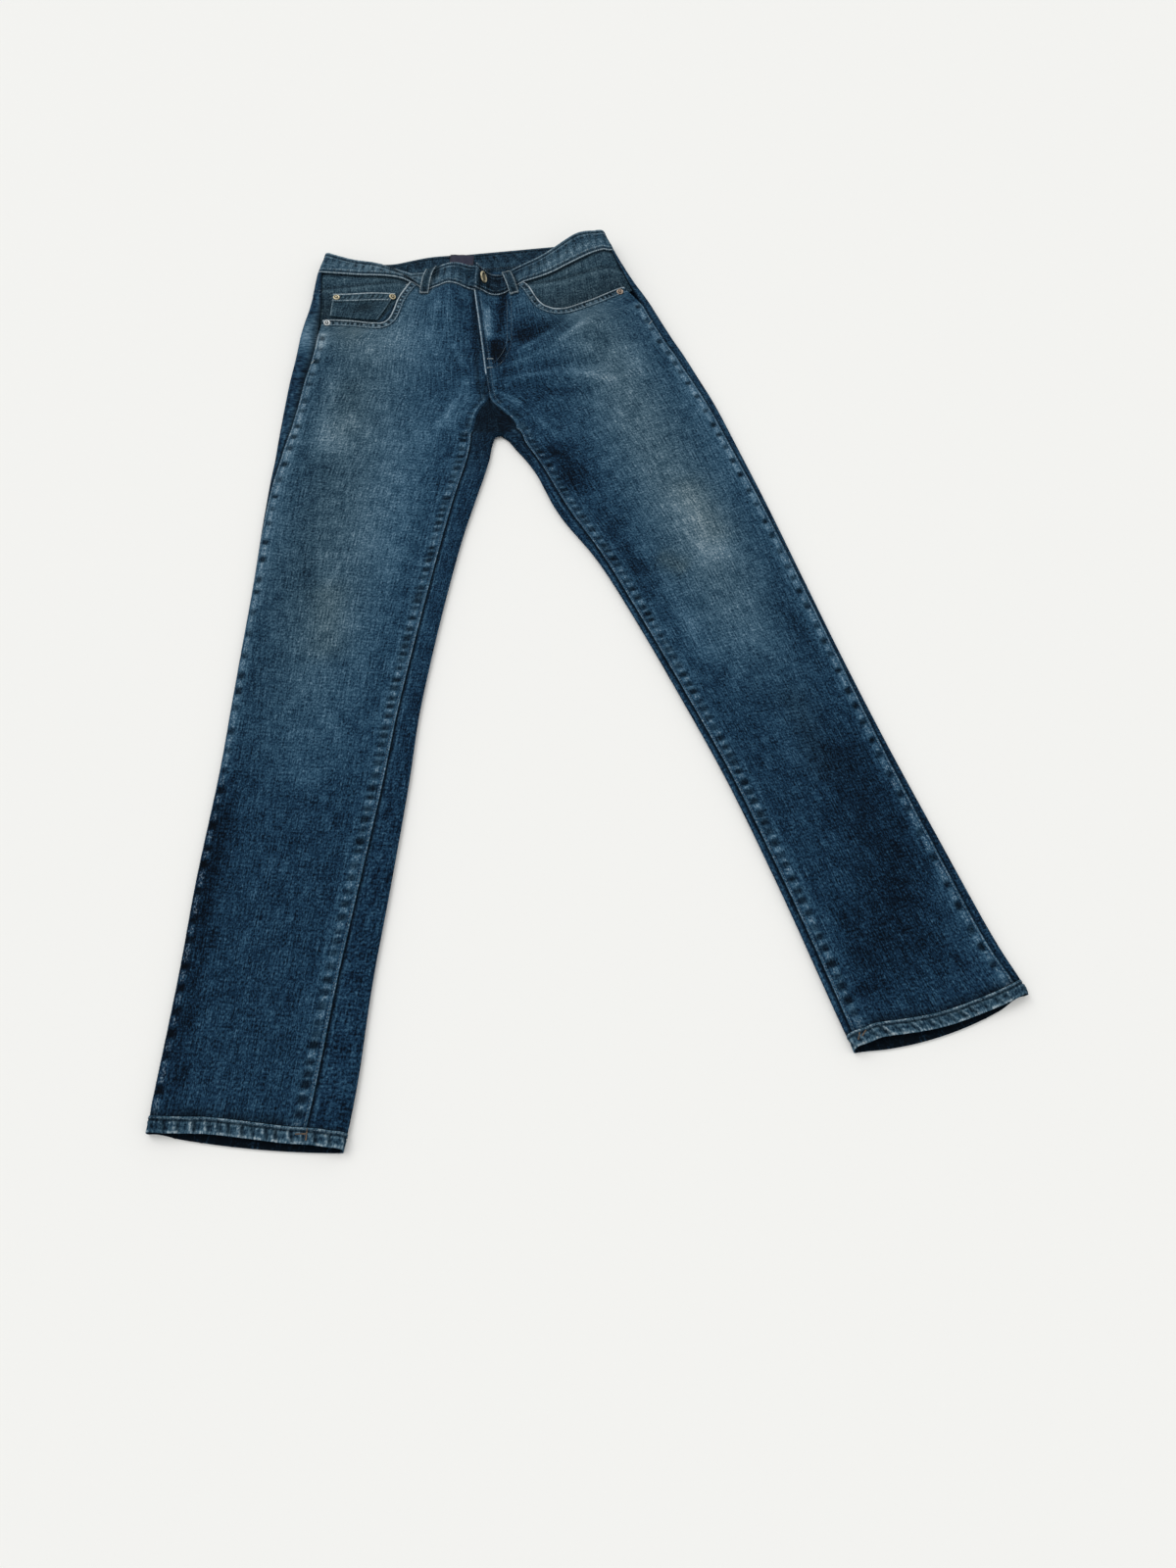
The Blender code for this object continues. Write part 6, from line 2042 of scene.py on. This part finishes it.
def seat_of(x, y, radius):
    """Where a round trim rests: a place on the cloth's normal, clear of all the cloth under it."""
    middle = drop(x, y)[0]
    turns = [step * math.tau / 16 for step in range(16)]
    around = [drop(x + radius * math.cos(a), y + radius * math.sin(a)) for a in turns]
    around = np.array([found[0] if found else middle for found in around])
    normal = np.cross(around - middle, np.roll(around, -1, axis=0) - middle).sum(axis=0)
    normal /= np.linalg.norm(normal)
    highest = max(((around - middle) @ normal).max(), 0.0)
    return middle + normal * (highest + 0.1), normal


# %% [markdown]
# The rivets are brass, but the one at the coin side's outseam is nickel plated and the left one is copper.
# Each has fine scratches and dull patches from the wash.

# %% Metals
def worn_metal(name, bright, dull, hollow):
    """Pressed metal after a stone wash: scratched, and dark where the wash could not rub."""
    material, tree = new_material(name)
    place = add_node(tree, "ShaderNodeTexCoord").outputs["Object"]
    share = swung(tree, noise(tree, place, 420.0, 3.0), 2.0, 0.5, clamp=True)
    face = mixed(tree, share, colour(dull), colour(bright))
    face = mixed(tree, number(tree, "hollow"), face, colour(hollow))
    bump = bumped(tree, noise(tree, place, 2600.0, 2.0), 0.25, 0.0001)
    return surfaced(material, Base_Color=face, Roughness=maths(tree, "MULTIPLY_ADD", share, -0.15, 0.48),
                    Normal=bump, Metallic=1.0)


BRASS = worn_metal("stone washed brass", "#d9d0b4", "#948a6c", "#24231f")
NICKEL = worn_metal("nickel plated brass", "#dfe2e2", "#8d9496", "#22262a")
COPPER = worn_metal("dull copper", "#b9a797", "#75665a", "#2a2420")
RIVET_PROFILE = [
    (0.0, 1.75, 0.0), (0.9, 1.7, 0.0), (1.35, 1.35, 0.6), (1.75, 0.95, 1.0), (2.3, 0.90, 0.9),
    (2.8, 1.15, 0.3), (3.4, 1.38, 0.0), (4.0, 1.30, 0.0), (4.5, 0.85, 0.1), (4.8, 0.3, 0.5),
    (4.75, 0.0, 0.8), (0.0, 0.0, 1.0),
]
RIVETS = {
    "rivet_coin_outer": (BRASS, -380.0, 1117.5), "rivet_coin_inner": (BRASS, -304.0, 1126.5),
    "rivet_right_pocket": (NICKEL, -383.5, 1066.0), "rivet_left_pocket": (COPPER, 9.5, 1161.0),
}
for node, (metal, x, y) in RIVETS.items():
    turned_trim(node, RIVET_PROFILE, 28, *seat_of(x, y, 4.8), metal)

# %% The button
# It hangs in its hole by a shank, so it leans away from the rolled end of the fly.
BUTTON_PLACE = (-183.0, 1165.0)
BUTTON_LEAN = math.radians(46)
BUTTON_PROFILE = [
    (0.0, 2.1, 0.3), (3.4, 2.0, 0.4), (4.9, 2.0, 0.7), (5.5, 2.7, 0.2), (6.3, 3.25, 0.0), (7.3, 3.2, 0.0),
    (8.1, 2.7, 0.0), (8.5, 1.9, 0.2), (8.1, 1.1, 0.7), (6.4, 0.8, 1.0), (3.2, 0.6, 1.0), (3.0, -1.2, 1.0),
    (0.0, -1.2, 1.0),
]
seat, normal = seat_of(*BUTTON_PLACE, 5.0)
leaning = Matrix.Rotation(BUTTON_LEAN, 3, Vector((0.25, 1.0, 0.0)).normalized()) @ Vector(normal)
turned_trim("button", BUTTON_PROFILE, 40, seat + np.array([0, 0, 5.5 * math.sin(BUTTON_LEAN) - 1.0]),
            leaning, BRASS)

# %% [markdown]
# The label is a narrow woven ribbon, navy with a violet cast, sewn inside the back of the waist. It carries
# no words or marks.

# %% The bare label
LABEL_SIZE = (34.0, 22.0)
RIB_SPACING = 1.2 * MM
LABEL_TURN = 0.06
LABEL_WALL = 0.8
LABEL_REST = SEAT_REST + BAND_WALL + 0.35
u = np.linspace(-0.5, 0.5, 35)[None]
v = np.linspace(-0.5, 0.5, 25)[:, None]
rise = 0.9 + 0.5 * np.cos(np.pi * u) * np.cos(np.pi * v) + 0.18 * np.sin(19 * u + 2 * v)
local = np.stack([u * LABEL_SIZE[0] + 0 * v, v * LABEL_SIZE[1] + 0 * u], axis=-1)
plan = turned_plan(local, LABEL_TURN, LABEL_PLACE)
points = np.concatenate([plan, (LABEL_REST + rise)[..., None]], axis=2)
edges = edges_of(points)
label_fine = Fine(points, edges.start.mean(axis=0), edges.low.mean(axis=1))
GRIDS["inner_label"] = Grid(points, normals_of(points), edges, label_fine)
nearest = np.minimum.reduce(edges)
label = shell("inner_label_ribbon", points, LABEL_WALL, label_fine, {"selvedge": bell(nearest, 0.0, 1.5)})
CLOTH["inner_label"] = label


def woven_ribbon(name, deep, light, selvedge):
    """Damask ribbon: fine ribs across it, a little lustre, and a darker woven edge."""
    material, tree = new_material(name)
    cloth = add_node(tree, "ShaderNodeUVMap", {"uv_map": "cloth"}).outputs[0]
    ribs = add_node(tree, "ShaderNodeTexWave", {"bands_direction": "Y"}, Vector=cloth,
                    Scale=0.16 / RIB_SPACING, Distortion=0.4).outputs[1]
    half_ribs = maths(tree, "MULTIPLY", ribs, 0.5)
    share = swung(tree, pattern(tree, cloth, (6.0, 1.0), 2.0), 0.8, half_ribs, clamp=True)
    face = mixed(tree, share, colour(deep), colour(light))
    face = mixed(tree, number(tree, "selvedge"), face, colour(selvedge))
    return surfaced(material, Base_Color=face, Roughness=maths(tree, "MULTIPLY_ADD", share, -0.1, 0.6),
                    Normal=bumped(tree, ribs, 0.4, 0.0003), Specular_IOR_Level=0.3)


dress(label, woven_ribbon("woven ribbon", "#070b26", "#14193f", "#060a1e"), "inner_label")

# %% [markdown]
# ## Cloth sheets
# Each piece was cut flat. The size of its cut is measured on the piece itself: the length of its lines
# across and along, and the area of its face.

# %% Measuring the sheets, whose sizes are not kept
def declare(grid):
    there = 1.0 if grid.fine.missing is None else ~grid.fine.missing
    across = step_lengths(grid.points, 1)[:-1] * there
    up = step_lengths(grid.points)[:, :-1] * there
    edges = np.diff(grid.points, axis=1)[:-1], np.diff(grid.points, axis=0)[:, :-1]
    cells = np.linalg.norm(np.cross(*edges), axis=-1) * there
    width = across.sum(axis=1).max() * MM
    length = up.sum(axis=0).max() * MM
    length = max(length, 1.02 * cells.sum() * MM**2 / width)


for node, piece in CLOTH.items():
    half = "left" if "left" in node else "right"
    declare(GRIDS[node])
for half, piece in zip(("right", "left"), SEWN):
    declare(GRIDS[f"pocket_mouth_{half}"])


# %% [markdown]
# ## Floor, light and camera
# The photograph is cut out on near-white with a soft grey shadow close to the cloth. A pale matt floor
# under a bright even sky and one large lamp gives that. The camera stands at the foot of the jeans and
# looks steeply down: its place, tilt and slight roll were worked out from the photograph's outline.

# %% A pale floor under soft light
FLOOR_REACH = 6.0
SKY_STRENGTH = 0.83
LAMP_STRENGTH = 1.0
floor_mesh = bpy.data.meshes.new("studio_floor")
corners = [(x * FLOOR_REACH, y * FLOOR_REACH, 0.0) for x, y in ((-1, -1), (1, -1), (1, 1), (-1, 1))]
floor_mesh.from_pydata(corners, [], [(0, 1, 2, 3)])
floor = in_scene("studio_floor", floor_mesh)
paper = new_material("matt studio paper")[0]
surfaced(paper, Base_Color=colour("#f0f0ee"), Roughness=0.95, Specular_IOR_Level=0.1)
floor_mesh.materials.append(paper)

sky = bpy.data.worlds.new("studio_sky")
sky.use_nodes = True
backdrop = sky.node_tree.nodes["Background"]
backdrop.inputs["Color"].default_value = colour("#fdfdfc")
backdrop.inputs["Strength"].default_value = SKY_STRENGTH
bpy.context.scene.world = sky
lamp_data = bpy.data.lights.new("large_lamp", "SUN")
lamp_data.energy = LAMP_STRENGTH
lamp_data.angle = math.radians(35)
lamp = in_scene("large_lamp", lamp_data)
lamp.location = (-1.6, 1.2, 1.8)
lamp.rotation_euler = (-lamp.location).to_track_quat("-Z", "Y").to_euler()
bpy.context.scene.view_settings.view_transform = "Standard"

# %% The camera
CAMERA_HEIGHT = 0.9316
TILT = math.radians(60.621)
ROLL = math.radians(-3.597)
lens = bpy.data.cameras.new("camera")
lens.sensor_fit = "VERTICAL"
lens.sensor_width, lens.sensor_height = 27.0, 36.0
lens.lens = 22.5
lens.shift_y = -0.058
lens.clip_end = 50.0
camera = in_scene("camera", lens)
bpy.context.scene.camera = camera
place = Matrix.Translation((SHIFT[0] * MM, SHIFT[1] * MM, CAMERA_HEIGHT))
tilted = Matrix.Rotation(math.pi / 2 - TILT, 4, "X")
camera.matrix_world = place @ tilted @ Matrix.Rotation(-ROLL, 4, "Z")
print(f"camera at {[round(value, 3) for value in camera.matrix_world.translation]} m")
